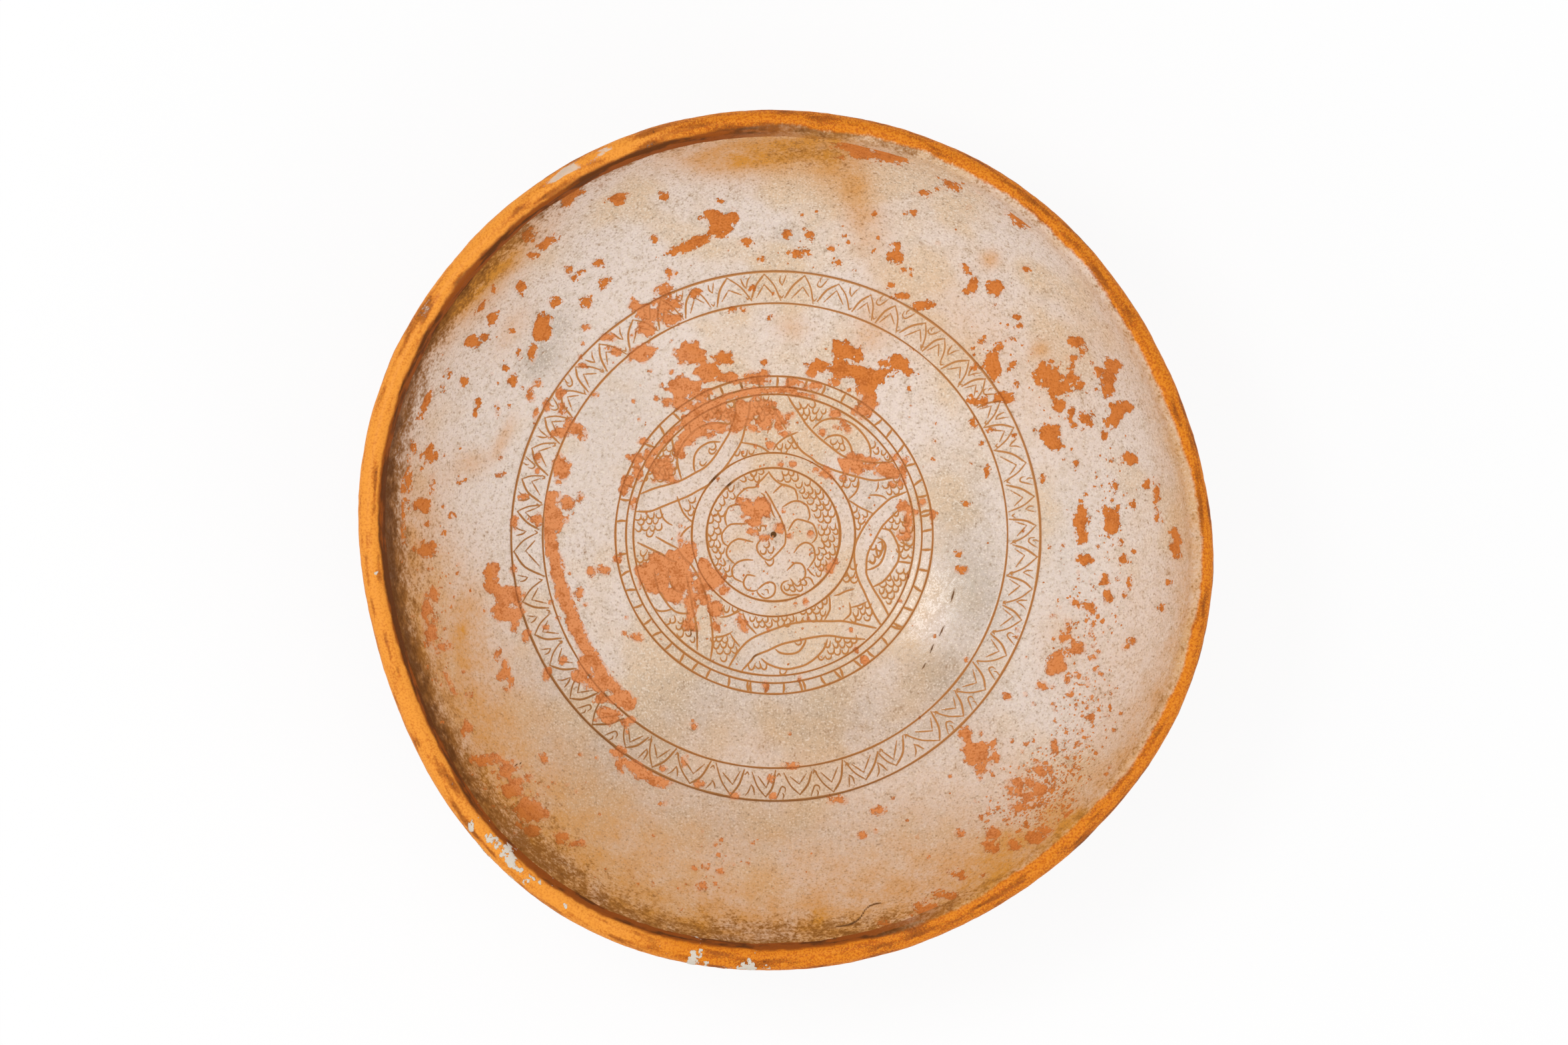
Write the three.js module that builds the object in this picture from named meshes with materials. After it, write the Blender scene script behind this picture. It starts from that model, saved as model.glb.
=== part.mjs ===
// A terracotta bowl on a luted foot ring, lined with white slip that is incised through to the clay.
// Millimetres, +Z up. The origin lies on the wheel axis, in the plane on which the foot rests.
import * as THREE from "three";

// The finished inside is part of an ellipse, turned about the wheel axis
const MOUTH_RADIUS = 118; // inside of the lip, averaged round the warp
const INSIDE_DEPTH = 60; // from the lip down to the middle of the floor
const LIP_TURN = THREE.MathUtils.degToRad(77); // how far up the ellipse the wall runs: more is steeper

// Clay
const WALL_AT_FLOOR = 8;
const WALL_AT_RIM = 5.2;
const UNDERSIDE_HEIGHT = 7; // of the bowl's underside above the table, at the wheel axis
const FOOT_RADIUS = 45; // outside of the foot ring, at the table
const FOOT_WIDTH = 8; // of the foot ring, at the table
const FOOT_FLARE = 1.5; // how much wider the ring grows on each side where it meets the bowl
const FOOT_CHAMFER = 1; // worn edge on both sides of the resting face

// Coats on the clay
const SLIP_THICKNESS = 0.8;
const RIM_COAT_THICKNESS = 0.6;
const RIM_COAT_INSIDE = 3; // how far the amber coat runs down from the lip, inside
const RIM_COAT_OUTSIDE = 8; // and outside
const CLEARANCE = 0.3; // between neighbouring pieces

// Incised circles: the radius at the middle of each line, from the roundel out to the wall
const ROUNDEL_LINE = 19.9;
const RING_LINE = 24.4;
const KNOT_LINE = 41.9;
const BORDER_INNER_LINE = 44.1;
const BORDER_OUTER_LINE = 47.3;
const BAND_INNER_LINE = 69;
const BAND_OUTER_LINE = 78.4;
const LINE_WIDTH = 0.9;

// The rim has warped in drying and firing. Each wave goes so many times round the mouth, moves the
// rim out by its reach and has a crest at an angle from +X.
const WARP_WAVES = [
  { count: 2, reach: 0.9, crest: -67 },
  { count: 3, reach: 1.2, crest: 0 },
  { count: 4, reach: 1.0, crest: -22 },
  { count: 6, reach: 0.4, crest: -10 },
];
const WARP_DROP = 0.6; // how far the rim sinks for each millimetre that it leans out

// Fineness of the turned surfaces
const SEGMENTS = 64;
const ROW_TURN = THREE.MathUtils.degToRad(6);
const LIP_ROWS = 6;
const HALVINGS = 40; // when an angle is searched for

const ELLIPSE_RADIUS = MOUTH_RADIUS / Math.sin(LIP_TURN);
const ELLIPSE_HEIGHT = INSIDE_DEPTH / (1 - Math.cos(LIP_TURN));
const COAT_DEPTH = SLIP_THICKNESS + CLEARANCE; // of the clay below the finished inside
const FLOOR_HEIGHT = UNDERSIDE_HEIGHT + WALL_AT_FLOOR + COAT_DEPTH;
const LIP_HEIGHT = FLOOR_HEIGHT + INSIDE_DEPTH;

const CLAY = { color: 0xc9824a, roughness: 0.85 };
const SLIP = { color: 0xd9c9b4, roughness: 0.35 };
const AMBER = { color: 0xc0763c, roughness: 0.4 };

// Direction along the inside at an angle of the ellipse, up towards the lip, of length 1
function along(turn) {
  return new THREE.Vector2(ELLIPSE_RADIUS * Math.cos(turn), ELLIPSE_HEIGHT * Math.sin(turn)).normalize();
}

// Direction out of the wall into the hollow of the bowl, of length 1
function inward(turn) {
  const { x, y } = along(turn);
  return new THREE.Vector2(-y, x);
}

// A point (radius, height) at some depth below the finished inside
function pointAt(turn, depth) {
  const radius = ELLIPSE_RADIUS * Math.sin(turn);
  const height = FLOOR_HEIGHT + ELLIPSE_HEIGHT * (1 - Math.cos(turn));
  return new THREE.Vector2(radius, height).addScaledVector(inward(turn), -depth);
}

// Depth of the outside of the clay wall, which thins towards the rim
function outsideDepth(turn) {
  const share = (turn / LIP_TURN) ** 2;
  return COAT_DEPTH + THREE.MathUtils.lerp(WALL_AT_FLOOR, WALL_AT_RIM, share);
}

// Points from one angle of the ellipse to another, at a depth that is given as a function of the angle
function run(from, to, depthAt) {
  const steps = Math.max(1, Math.ceil(Math.abs(to - from) / ROW_TURN));
  const points = [];
  for (let i = 0; i <= steps; i++) {
    const turn = THREE.MathUtils.lerp(from, to, i / steps);
    points.push(pointAt(turn, depthAt(turn)));
  }
  return points;
}

// The angle at which a surface at that depth reaches a radius, found by halving
function turnAtRadius(radius, depthAt) {
  let low = 0;
  let high = LIP_TURN;
  for (let i = 0; i < HALVINGS; i++) {
    const middle = (low + high) / 2;
    if (pointAt(middle, depthAt(middle)).x < radius) {
      low = middle;
    } else {
      high = middle;
    }
  }
  return low;
}

// The angle that lies some way down the wall from the lip
function turnBelowLip(length) {
  const travel = Math.hypot(ELLIPSE_RADIUS * Math.cos(LIP_TURN), ELLIPSE_HEIGHT * Math.sin(LIP_TURN));
  return LIP_TURN - length / travel;
}

// Half circle over the top of the clay wall, from outside to inside, raised off the clay
function lipArc(raised) {
  const radius = WALL_AT_RIM / 2 + raised;
  const middle = pointAt(LIP_TURN, COAT_DEPTH + WALL_AT_RIM / 2);
  const points = [];
  for (let i = 1; i < LIP_ROWS; i++) {
    const angle = Math.PI * (i / LIP_ROWS);
    const point = middle.clone();
    point.addScaledVector(inward(LIP_TURN), -radius * Math.cos(angle));
    point.addScaledVector(along(LIP_TURN), radius * Math.sin(angle));
    points.push(point);
  }
  return points;
}

// How far the rim leans out, in millimetres, at an angle round the mouth
function leanAt(angle) {
  let lean = 0;
  for (const { count, reach, crest } of WARP_WAVES) {
    lean += reach * Math.cos(count * (angle - THREE.MathUtils.degToRad(crest)));
  }
  return lean;
}

// The warp starts at the zigzag band and grows to its full amount at the lip
function warp(geometry) {
  const start = pointAt(turnAtRadius(BAND_OUTER_LINE, () => 0), 0).y;
  const position = geometry.attributes.position;
  const point = new THREE.Vector3();
  for (let i = 0; i < position.count; i++) {
    point.fromBufferAttribute(position, i);
    const angle = Math.atan2(point.y, point.x);
    const lean = leanAt(angle) * THREE.MathUtils.smoothstep(point.z, start, LIP_HEIGHT);
    point.x += lean * Math.cos(angle);
    point.y += lean * Math.sin(angle);
    point.z -= lean * WARP_DROP;
    position.setXYZ(i, point.x, point.y, point.z);
  }
  geometry.computeVertexNormals();
}

// A named piece turned from a profile that runs anticlockwise, radius to the right and height up
function turned(name, profile, finish) {
  const geometry = new THREE.LatheGeometry(profile, SEGMENTS);
  geometry.rotateX(Math.PI / 2);
  warp(geometry);
  const piece = new THREE.Mesh(geometry, new THREE.MeshStandardMaterial({ ...finish, metalness: 0 }));
  piece.name = name;
  return piece;
}

// The thrown shell: up the outside, over the lip and down the inside
function bowlBody() {
  const outside = run(0, LIP_TURN, outsideDepth);
  const inside = run(LIP_TURN, 0, () => COAT_DEPTH);
  return turned("bowl_body", [...outside, ...lipArc(0), ...inside], CLAY);
}

// The ring is luted to the curved underside, so its top follows the clay
function footRing() {
  const seatDepth = (turn) => outsideDepth(turn) + CLEARANCE;
  const innerRadius = FOOT_RADIUS - FOOT_WIDTH;
  const innerTurn = turnAtRadius(innerRadius - FOOT_FLARE, seatDepth);
  const outerTurn = turnAtRadius(FOOT_RADIUS + FOOT_FLARE, seatDepth);
  const resting = [
    new THREE.Vector2(innerRadius, FOOT_CHAMFER),
    new THREE.Vector2(innerRadius + FOOT_CHAMFER, 0),
    new THREE.Vector2(FOOT_RADIUS - FOOT_CHAMFER, 0),
    new THREE.Vector2(FOOT_RADIUS, FOOT_CHAMFER),
  ];
  const seat = run(outerTurn, innerTurn, seatDepth);
  return turned("foot_ring", [...resting, ...seat, resting[0].clone()], CLAY);
}

// The amber coat wraps the lip and stops on the wall on both sides
function rimCoat() {
  const outsideEnd = turnBelowLip(RIM_COAT_OUTSIDE);
  const insideEnd = turnBelowLip(RIM_COAT_INSIDE);
  const raisedFace = (raised) => [
    ...run(outsideEnd, LIP_TURN, (turn) => outsideDepth(turn) + raised),
    ...lipArc(raised),
    ...run(LIP_TURN, insideEnd, () => COAT_DEPTH - raised),
  ];
  const face = raisedFace(CLEARANCE + RIM_COAT_THICKNESS);
  const back = raisedFace(CLEARANCE).reverse();
  return turned("rim_coat", [...face, ...back, face[0].clone()], AMBER);
}

// One field of slip between two angles: along its back, then back along its face
function slipField(name, from, to) {
  const back = run(from, to, () => SLIP_THICKNESS);
  const face = run(to, from, () => 0);
  const profile = [...back, ...face];
  if (from > 0) {
    profile.push(back[0].clone());
  }
  return turned(name, profile, SLIP);
}

// The incised circles leave these fields of slip, each named for what is drawn on it
function slipFields() {
  const edge = (radius) => turnAtRadius(radius, () => 0);
  const fields = [
    ["slip_roundel", ROUNDEL_LINE],
    ["slip_ring_band", RING_LINE],
    ["slip_knot_field", KNOT_LINE],
    ["slip_border_fillet", BORDER_INNER_LINE],
    ["slip_dash_border", BORDER_OUTER_LINE],
    ["slip_plain_zone", BAND_INNER_LINE],
    ["slip_zigzag_band", BAND_OUTER_LINE],
  ];
  let start = 0;
  const pieces = [];
  for (const [name, line] of fields) {
    pieces.push(slipField(name, start, edge(line - LINE_WIDTH / 2)));
    start = edge(line + LINE_WIDTH / 2);
  }
  pieces.push(slipField("slip_wall", start, turnBelowLip(RIM_COAT_INSIDE + CLEARANCE)));
  return pieces;
}

const bowl = new THREE.Group();
bowl.add(bowlBody(), footRing(), rimCoat(), ...slipFields());

export default bowl;
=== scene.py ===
# %% [markdown]
# # A slip-lined terracotta bowl
#
# The real bowl was thrown in red clay, set on a foot ring and lined with white slip. The potter then
# scratched circles, a knot and a zigzag band through the slip, so that the red clay shows as a drawing.
# Age has flaked the slip away in patches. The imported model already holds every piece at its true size,
# so this lesson only dresses it: each plain solid gets a finer skin with the same section.

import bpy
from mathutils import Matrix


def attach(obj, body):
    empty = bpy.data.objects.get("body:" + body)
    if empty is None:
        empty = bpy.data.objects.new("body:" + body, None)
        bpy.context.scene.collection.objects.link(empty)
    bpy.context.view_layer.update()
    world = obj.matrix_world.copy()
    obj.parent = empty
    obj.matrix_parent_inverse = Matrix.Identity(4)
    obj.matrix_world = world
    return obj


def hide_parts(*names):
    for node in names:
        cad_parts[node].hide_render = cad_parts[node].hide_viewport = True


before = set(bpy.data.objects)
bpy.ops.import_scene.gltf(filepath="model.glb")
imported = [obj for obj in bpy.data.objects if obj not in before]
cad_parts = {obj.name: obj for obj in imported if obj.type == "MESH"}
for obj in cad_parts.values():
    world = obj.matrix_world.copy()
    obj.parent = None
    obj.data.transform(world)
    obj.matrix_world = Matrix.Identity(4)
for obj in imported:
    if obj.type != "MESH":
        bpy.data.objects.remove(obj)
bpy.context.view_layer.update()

# %% [markdown]
# ## The section of the wall
#
# A thrown pot is one section carried round the wheel axis. Its inside is part of an ellipse, and every
# layer of the bowl lies at some depth below that ellipse. Writing the section once, as a function of
# the angle up the ellipse and of the depth, keeps slip, clay and glaze exactly on top of each other.
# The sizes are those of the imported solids, in millimetres, because potters and photographs are measured
# in them.

# %% Sizes of the section
import numpy as np

MM = 0.001
MOUTH_RADIUS = 118
INSIDE_DEPTH = 60
LIP_TURN = np.radians(77)
WALL_AT_FLOOR = 8
WALL_AT_RIM = 5.2
UNDERSIDE_HEIGHT = 7
SLIP_THICKNESS = 0.8
CLEARANCE = 0.3
COAT_DEPTH = SLIP_THICKNESS + CLEARANCE
FLOOR_HEIGHT = UNDERSIDE_HEIGHT + WALL_AT_FLOOR + COAT_DEPTH
LIP_HEIGHT = FLOOR_HEIGHT + INSIDE_DEPTH
ELLIPSE_RADIUS = MOUTH_RADIUS / np.sin(LIP_TURN)
ELLIPSE_HEIGHT = INSIDE_DEPTH / (1 - np.cos(LIP_TURN))

# Incised circles: the radius at the middle of each line
ROUNDEL_LINE = 19.9
RING_LINE = 24.4
KNOT_LINE = 41.9
BORDER_INNER_LINE = 44.1
BORDER_OUTER_LINE = 47.3
BAND_INNER_LINE = 69
BAND_OUTER_LINE = 78.4
print(f"the ellipse is {ELLIPSE_RADIUS:.1f} mm wide from the axis and {ELLIPSE_HEIGHT:.1f} mm high")

# %% The section as a function
def section(turn, depth):
    """Radius and height of a point of the wall.

    The ellipse is followed up from the wheel axis by the angle turn. From there the point steps back
    into the wall by depth, along the ellipse's normal.
    """
    outward = ELLIPSE_RADIUS * np.cos(turn)
    upward = ELLIPSE_HEIGHT * np.sin(turn)
    length = np.hypot(outward, upward)
    radius = ELLIPSE_RADIUS * np.sin(turn) + depth * upward / length
    height = FLOOR_HEIGHT + ELLIPSE_HEIGHT * (1 - np.cos(turn)) - depth * outward / length
    return radius, height


def outside_depth(turn):
    """Depth of the outside of the clay: the wall thins from floor to rim with the square of the angle."""
    return COAT_DEPTH + WALL_AT_FLOOR + (WALL_AT_RIM - WALL_AT_FLOOR) * (turn / LIP_TURN) ** 2


def turn_at(radius):
    """Angle up the ellipse at which the finished inside has that radius."""
    return np.arcsin(radius / ELLIPSE_RADIUS)


LIP_TRAVEL = np.hypot(ELLIPSE_RADIUS * np.cos(LIP_TURN), ELLIPSE_HEIGHT * np.sin(LIP_TURN))


def turn_below_lip(length):
    """Angle that lies a length down the wall from the lip."""
    return LIP_TURN - length / LIP_TRAVEL


lip_radius, lip_height = section(LIP_TURN, 0)
print(f"the lip's inside edge is at radius {lip_radius:.1f} and height {lip_height:.1f} mm")

# %% [markdown]
# ## The warp of the rim
#
# In drying and firing the mouth went out of round: the photograph shows it wider at the lower right and
# flatter at the left. A few waves round the mouth give that outline. They start above the zigzag band,
# so the medallion stays round, and they pull the rim down a little where it leans out.

# %% Carry a section round the wheel, with the warp
# Each wave: how often it goes round, its reach in mm and the angle of a crest in degrees
WARP_WAVES = [(2, 0.9, -67), (3, 1.2, 0), (4, 1.0, -22), (6, 0.4, -10)]
WARP_DROP = 0.6
WARP_START = section(turn_at(BAND_OUTER_LINE), 0)[1]


def eased(low, high, value):
    """0 at low, 1 at high and an S curve between: t times t times (3 minus 2 t)."""
    share = np.clip((value - low) / (high - low), 0, 1)
    return share * share * (3 - 2 * share)


def carried(radius, height, angle):
    """Points in mm: a section point turned to angle, leaning out by the sum of the warp's cosines."""
    lean = sum(reach * np.cos(count * (angle - np.radians(crest))) for count, reach, crest in WARP_WAVES)
    lean = lean * eased(WARP_START, LIP_HEIGHT, height)
    reach = radius + lean
    return np.stack([reach * np.cos(angle), reach * np.sin(angle), height - WARP_DROP * lean], axis=-1)


def angles(columns):
    """Evenly spaced angles round the wheel, in radians, without repeating the first."""
    return np.arange(columns) * (2 * np.pi / columns)


rim_line = carried(*section(np.full(360, LIP_TURN), 0.0), angles(360))
print(f"the mouth is {np.ptp(rim_line[:, 0]):.1f} by {np.ptp(rim_line[:, 1]):.1f} mm inside")

# %% [markdown]
# ## From a grid to a mesh
#
# Every piece below is a grid: its rows run round the bowl and follow one another from the hollow, over
# an edge and back behind. A grid like this closes on itself in both directions, or ends in a point on
# the axis, so the skin is always watertight. Values worked out for the same grid, such as the distance
# to a scratched line, are stored beside the points as attributes, and the materials read them later.

# %% A closed skin from a grid of points
import bpy


def turned_skin(name, grid, marks, material, node, on_axis=False):
    """Make one piece from a grid of points in mm, with one attribute for each entry of marks.

    Four neighbours in the grid make a face. The last column joins the first. The last row joins the first
    too, unless the piece ends on the axis: then the first and the last row each close in one point.
    """
    rows, columns = grid.shape[:2]
    here = np.arange(rows * columns).reshape(rows, columns)
    beside = np.roll(here, -1, axis=1)
    quads = np.stack([here, np.roll(here, -1, 0), np.roll(beside, -1, 0), beside], axis=-1)
    points = grid.reshape(-1, 3)
    caps = []
    if on_axis:
        quads = quads[:-1]
        first_pole = np.full(columns, rows * columns)
        caps = np.stack([first_pole, here[0], beside[0]], axis=-1).tolist()
        caps += np.stack([here[-1], first_pole + 1, beside[-1]], axis=-1).tolist()
        poles = np.stack([grid[0].mean(axis=0), grid[-1].mean(axis=0)])
        points = np.concatenate([points, poles])
    mesh = bpy.data.meshes.new(name)
    mesh.from_pydata((points * MM).tolist(), [], quads.reshape(-1, 4).tolist() + caps)
    for mark, values in marks.items():
        flat = values.ravel()
        if on_axis:
            flat = np.concatenate([flat, [values[0].mean(), values[-1].mean()]])
        mesh.attributes.new(mark, "FLOAT", "POINT").data.foreach_set("value", flat.astype(np.float32))
    mesh.shade_smooth()
    mesh.materials.append(material)
    piece = bpy.data.objects.new(name, mesh)
    bpy.context.scene.collection.objects.link(piece)
    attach(piece, "root")
    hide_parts(node)
    print(f"{name}: {2 * len(quads) * columns + len(caps)} triangles for {node}")
    return piece

# %% [markdown]
# ## Noise for worn edges
#
# Nothing on an old pot has a clean outline. Value noise gives repeatable roughness: a random number
# sits on each corner of a lattice, and points between take a smooth blend of the eight corners around
# them. Because it is worked out in three dimensions, it isn't stretched on the steep wall.

# %% Repeatable noise on whole arrays
from itertools import product

CORNER_PRIMES = (374761393, 668265263, 1440662683)
SEED_PRIME = 974711
SHUFFLES = ((13, 1274126177), (15, 668265263))  # shift in bits, and the prime to multiply by
LOW_BITS = 0xFFFFFFFF


def corner_number(cell, seed):
    """A number from 0 to 1 for each whole-number lattice corner, mixed from its three indices."""
    mixed = sum(cell[..., axis] * prime for axis, prime in enumerate(CORNER_PRIMES)) + seed * SEED_PRIME
    mixed = mixed & LOW_BITS
    for shift, prime in SHUFFLES:
        mixed = ((mixed ^ (mixed >> shift)) * prime) & LOW_BITS
    return (mixed ^ (mixed >> 16)) / LOW_BITS


def noise(points, size, seed):
    """Smooth noise from -1 to 1, in lattice cells of that size."""
    scaled = np.asarray(points) / size
    cell = np.floor(scaled).astype(np.int64)
    share = scaled - cell
    share = share * share * (3 - 2 * share)
    total = np.zeros(scaled.shape[:-1])
    for corner in product((0, 1), repeat=3):
        weight = np.where(corner, share, 1 - share).prod(axis=-1)
        total += weight * corner_number(cell + np.array(corner), seed)
    return 2 * total - 1


def rough_noise(points, size, seed, octaves=3):
    """Noise at that size, plus half as much at half the size, and so on."""
    return sum(noise(points, size / 2**step, seed + step) / 2**step for step in range(octaves))


sample = rough_noise(carried(*section(np.full(5000, 0.8), 0.0), angles(5000)), 3, 1)
print(f"rough noise runs from {sample.min():.2f} to {sample.max():.2f}")

# %% [markdown]
# ## Scratched strokes
#
# The potter drew with a point, so each line is a groove of nearly even width with a thinner start and
# end. It could be a boolean cut or a painted picture. A signed distance is lighter and sharper: for
# every point of the slip it says how far the nearest stroke's edge is, and is negative within the
# stroke. The mesh sinks where it is negative, and the material shows clay there.

# %% A smooth line through a few points
def smooth_line(points, steps=5):
    """A curve through the points.

    Each span is a cubic whose slope at a point is half the step between that point's neighbours.
    """
    known = np.array(points, float)
    before = np.concatenate([2 * known[:1] - known[1:2], known[:-1]])
    after = np.concatenate([known[1:], 2 * known[-1:] - known[-2:-1]])
    slope = (after - before) / 2
    share = (np.arange(steps) / steps)[None, :, None]
    start, end = known[:-1, None], known[1:, None]
    leave, arrive = slope[:-1, None], slope[1:, None]
    cubic = (2 * share**3 - 3 * share**2 + 1) * start + (share**3 - 2 * share**2 + share) * leave
    cubic = cubic + (3 * share**2 - 2 * share**3) * end + (share**3 - share**2) * arrive
    return np.concatenate([cubic.reshape(-1, 2), known[-1:]])


print(len(smooth_line([(0, 0), (1, 1), (2, 0)])), "points on a smooth line through three")

# %% The distance to the nearest stroke
FAR = 9.0
STROKE_REACH = 1.5
TAPER = 1.6  # length over which a stroke thins out at its ends
BLUNT = 0.5  # share of its width that is left at the very end


def stroke_edge(points, strokes):
    """Signed distance in mm, in plan, from each point to the nearest stroke's edge.

    The distance to a stroke is the least of the distances to its short straight spans, less the half width
    there, which tapers towards both ends.
    """
    x, y = points[..., 0], points[..., 1]
    edge = np.full(x.shape, FAR)
    for line, half_width in strokes:
        low = line.min(axis=0) - STROKE_REACH
        high = line.max(axis=0) + STROKE_REACH
        near = (x > low[0]) & (x < high[0]) & (y > low[1]) & (y < high[1])
        if not near.any():
            continue
        span = np.diff(line, axis=0)
        length = np.linalg.norm(span, axis=1)
        travelled = np.cumsum(length) - length / 2
        from_end = np.minimum(travelled, length.sum() - travelled)
        width = half_width * (BLUNT + (1 - BLUNT) * np.clip(from_end / TAPER, 0, 1))
        offset = np.stack([x[near], y[near]], axis=-1)[:, None] - line[:-1]
        share = np.clip((offset * span).sum(axis=-1) / (length**2 + 1e-9), 0, 1)
        gap = np.linalg.norm(offset - share[..., None] * span, axis=-1)
        edge[near] = np.minimum(edge[near], (gap - width).min(axis=1))
    return edge


def drawn(lines, half_width):
    """Strokes of one width from lists of points."""
    return [(smooth_line(line), half_width) for line in lines]


ruled = drawn([[(0, 0), (9, 0)]], 0.3)
print(f"1 mm beside a ruled line, its edge is {stroke_edge(np.array([(4.5, 1.0)]), ruled)[0]:.1f} mm off")

# %% [markdown]
# ## The roundel: a curled plant with scales
#
# In the middle of the medallion a stem curls round a bud, with scalloped leaves on both sides. The
# points are read from the photograph, in millimetres from the wheel axis, and only as many as each
# curve needs.

# %% Strokes of the roundel
FINE_LINE = 0.27
LEAVES = [
    [(-1.3, 18.7), (-4, 15.8), (-5.4, 14.2), (-7.9, 13.9), (-9.9, 12.4), (-10.9, 10.9), (-10.7, 9.6)],
    [(-8.2, 8.7), (-9.9, 9), (-12.4, 8.7), (-13.5, 7.9), (-14.2, 6.2), (-14.4, 4.5), (-13.8, 2.3)],
    [(-8, 3.2), (-11.6, 3.2), (-13, 2.9), (-14.2, 1.9), (-15.3, 0.2), (-15.3, -1.2), (-14.8, -2.5),
     (-13.5, -3.5)],
    [(-6.1, -2.2), (-9.9, -1.3), (-11.3, -1.6), (-12.7, -2.5), (-13.7, -4), (-14, -5.4), (-13.5, -6.8),
     (-11.6, -8.7)],
    [(-6.1, -7.6), (-8.2, -7.5), (-10.2, -8), (-11.4, -8.9), (-12.3, -10.2), (-12.3, -11.6), (-11.6, -13),
     (-9.2, -14.2)],
    [(-5.4, -12.4), (-7.6, -12), (-8.3, -12.7), (-8.9, -14.1), (-8.6, -15.5), (-7.6, -16.5),
     (-5.9, -16.8), (-4.8, -16.5)],
    [(4.1, -10.7), (6.2, -8.7), (7.3, -8.5), (8.6, -8.9), (9.4, -10.2), (9.6, -11.6), (9.2, -13),
     (7.5, -14.2)],
    [(9.3, -13), (10.4, -12.8), (11.3, -13.4), (12.1, -15)],
    [(10.2, -10.2), (11.3, -11.6), (12.4, -12.4)],
    [(6.2, -5.4), (7.3, -3.8), (8.5, -2.8), (9.9, -2.4), (11.3, -3), (12.1, -4.1), (12.4, -5.6),
     (12.3, -7.3), (10.6, -9.9)],
    [(4.5, 1.1), (5.8, 3.4), (6.8, 4.4), (8.2, 4.4), (11.3, 3.4), (12.3, 2.3), (13, 0), (12.6, -1.4),
     (11.6, -2.5)],
    [(2.8, 8.2), (5.1, 9.6), (6.5, 10), (7.9, 9.9), (9.3, 9.2), (10.3, 8.2), (10.9, 5.6), (10.4, 4.2)],
    [(0, 12.4), (1.1, 13.5), (2.5, 14.7), (3.7, 14.8), (6.2, 13.7), (6.8, 12.7), (7.2, 11.3), (7.2, 10.2)],
]
STEM = [
    [(-1.4, 18.9), (-0.8, 17.8), (0.3, 16.5), (1.7, 15.4), (3.1, 14.8), (4.8, 14.2)],
    [(-2.3, 13), (-0.6, 10.2), (0.6, 7.9), (1.7, 5.9), (2.5, 4.2), (3.2, 2.3), (3.7, 0.6), (3.7, -1.1),
     (3.5, -2.8), (2.5, -4.2), (0.3, -6.5), (-1.1, -7.6), (-2.5, -7.3), (-3.8, -6.2), (-4.7, -4.8),
     (-4.8, -3.1), (-3.4, -1.1)],
    [(-3.7, 12.4), (-2.8, 11.8), (-2.4, 10.7), (-1, 8.7), (-0.6, 7.5), (0, 6), (0.6, 5)],
    [(-2.5, -7.9), (-1.7, -8.9), (-1, -9.3), (-0.1, -8.6), (0.1, -7.3)],
    [(-5.1, 2.3), (-4, 1.1), (-3.7, 2.5), (-2.5, 2.5), (-2.2, 1.4)],
]
BUDS = [
    [(-4.8, -16.5), (-3.7, -15.5), (-2.3, -14.5), (-0.8, -14.2), (0.3, -14.8), (0.6, -16.1), (0.3, -17.5),
     (-0.8, -18.6), (-2.5, -19), (-3.9, -18.3), (-4.8, -17.2), (-4.8, -16.5)],
    [(-2.5, -16.4), (-1.7, -16.5), (-1.5, -17.5)],
    [(-3.5, -17.5), (-2.8, -18)],
    [(4.5, -13.7), (3.1, -14.2), (2.4, -15.2), (2.5, -16.4), (3.4, -17.5), (5.1, -18.1), (6.8, -17.9),
     (8.5, -18.1)],
]
roundel_strokes = drawn(LEAVES + STEM + BUDS, FINE_LINE)
print(len(roundel_strokes), "strokes draw the roundel")

# %% [markdown]
# ## The knot: five ribbons with arches
#
# Round the roundel, five broad ribbons run tangent to its ring, and each passes under an arch. Between
# them lie small lily shapes. The same pen draws all of it.

# %% Strokes of the ribbons and their arches
RIBBON_LINE = 0.3
UPPER_LEFT_RIBBON = [
    [(-39.8, 12.3), (-35.7, 13.9), (-32, 14.9), (-27.5, 16.3), (-23.4, 18.5), (-20.3, 20.3),
     (-17.5, 23.4), (-14.8, 27.7), (-13.2, 30.5), (-12.2, 33.5), (-11.5, 36.3), (-11.6, 40)],
    [(-41.1, 7.1), (-36.9, 7.1), (-33.2, 8.5), (-28.6, 10.3), (-25.2, 11.7), (-22.5, 13.2), (-19.4, 14.9),
     (-17.2, 16.9), (-14.8, 19.7), (-13.2, 21.8), (-9.8, 27.4), (-8.3, 32.9), (-7.5, 35.7), (-7.1, 39.7)],
    [(-27.5, 16.5), (-28.5, 20.3), (-28.8, 22.5), (-28.3, 24.6), (-27.1, 27.1), (-25.2, 29.5),
     (-23.4, 31.2), (-20.9, 32.6), (-18.5, 33.1), (-16, 33.4), (-13.8, 32.9)],
    [(-23.4, 18.6), (-23.8, 20.3), (-23.8, 22.2), (-23.4, 24), (-22.2, 25.8), (-20.3, 27.1),
     (-18.5, 27.7), (-16, 27.7)],
    [(-24.6, 30.3), (-25.1, 31.7), (-25.1, 33.2)],
    [(-29.1, 23.4), (-29.8, 25.8), (-30.3, 28), (-30.3, 29.2)],
]
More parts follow.
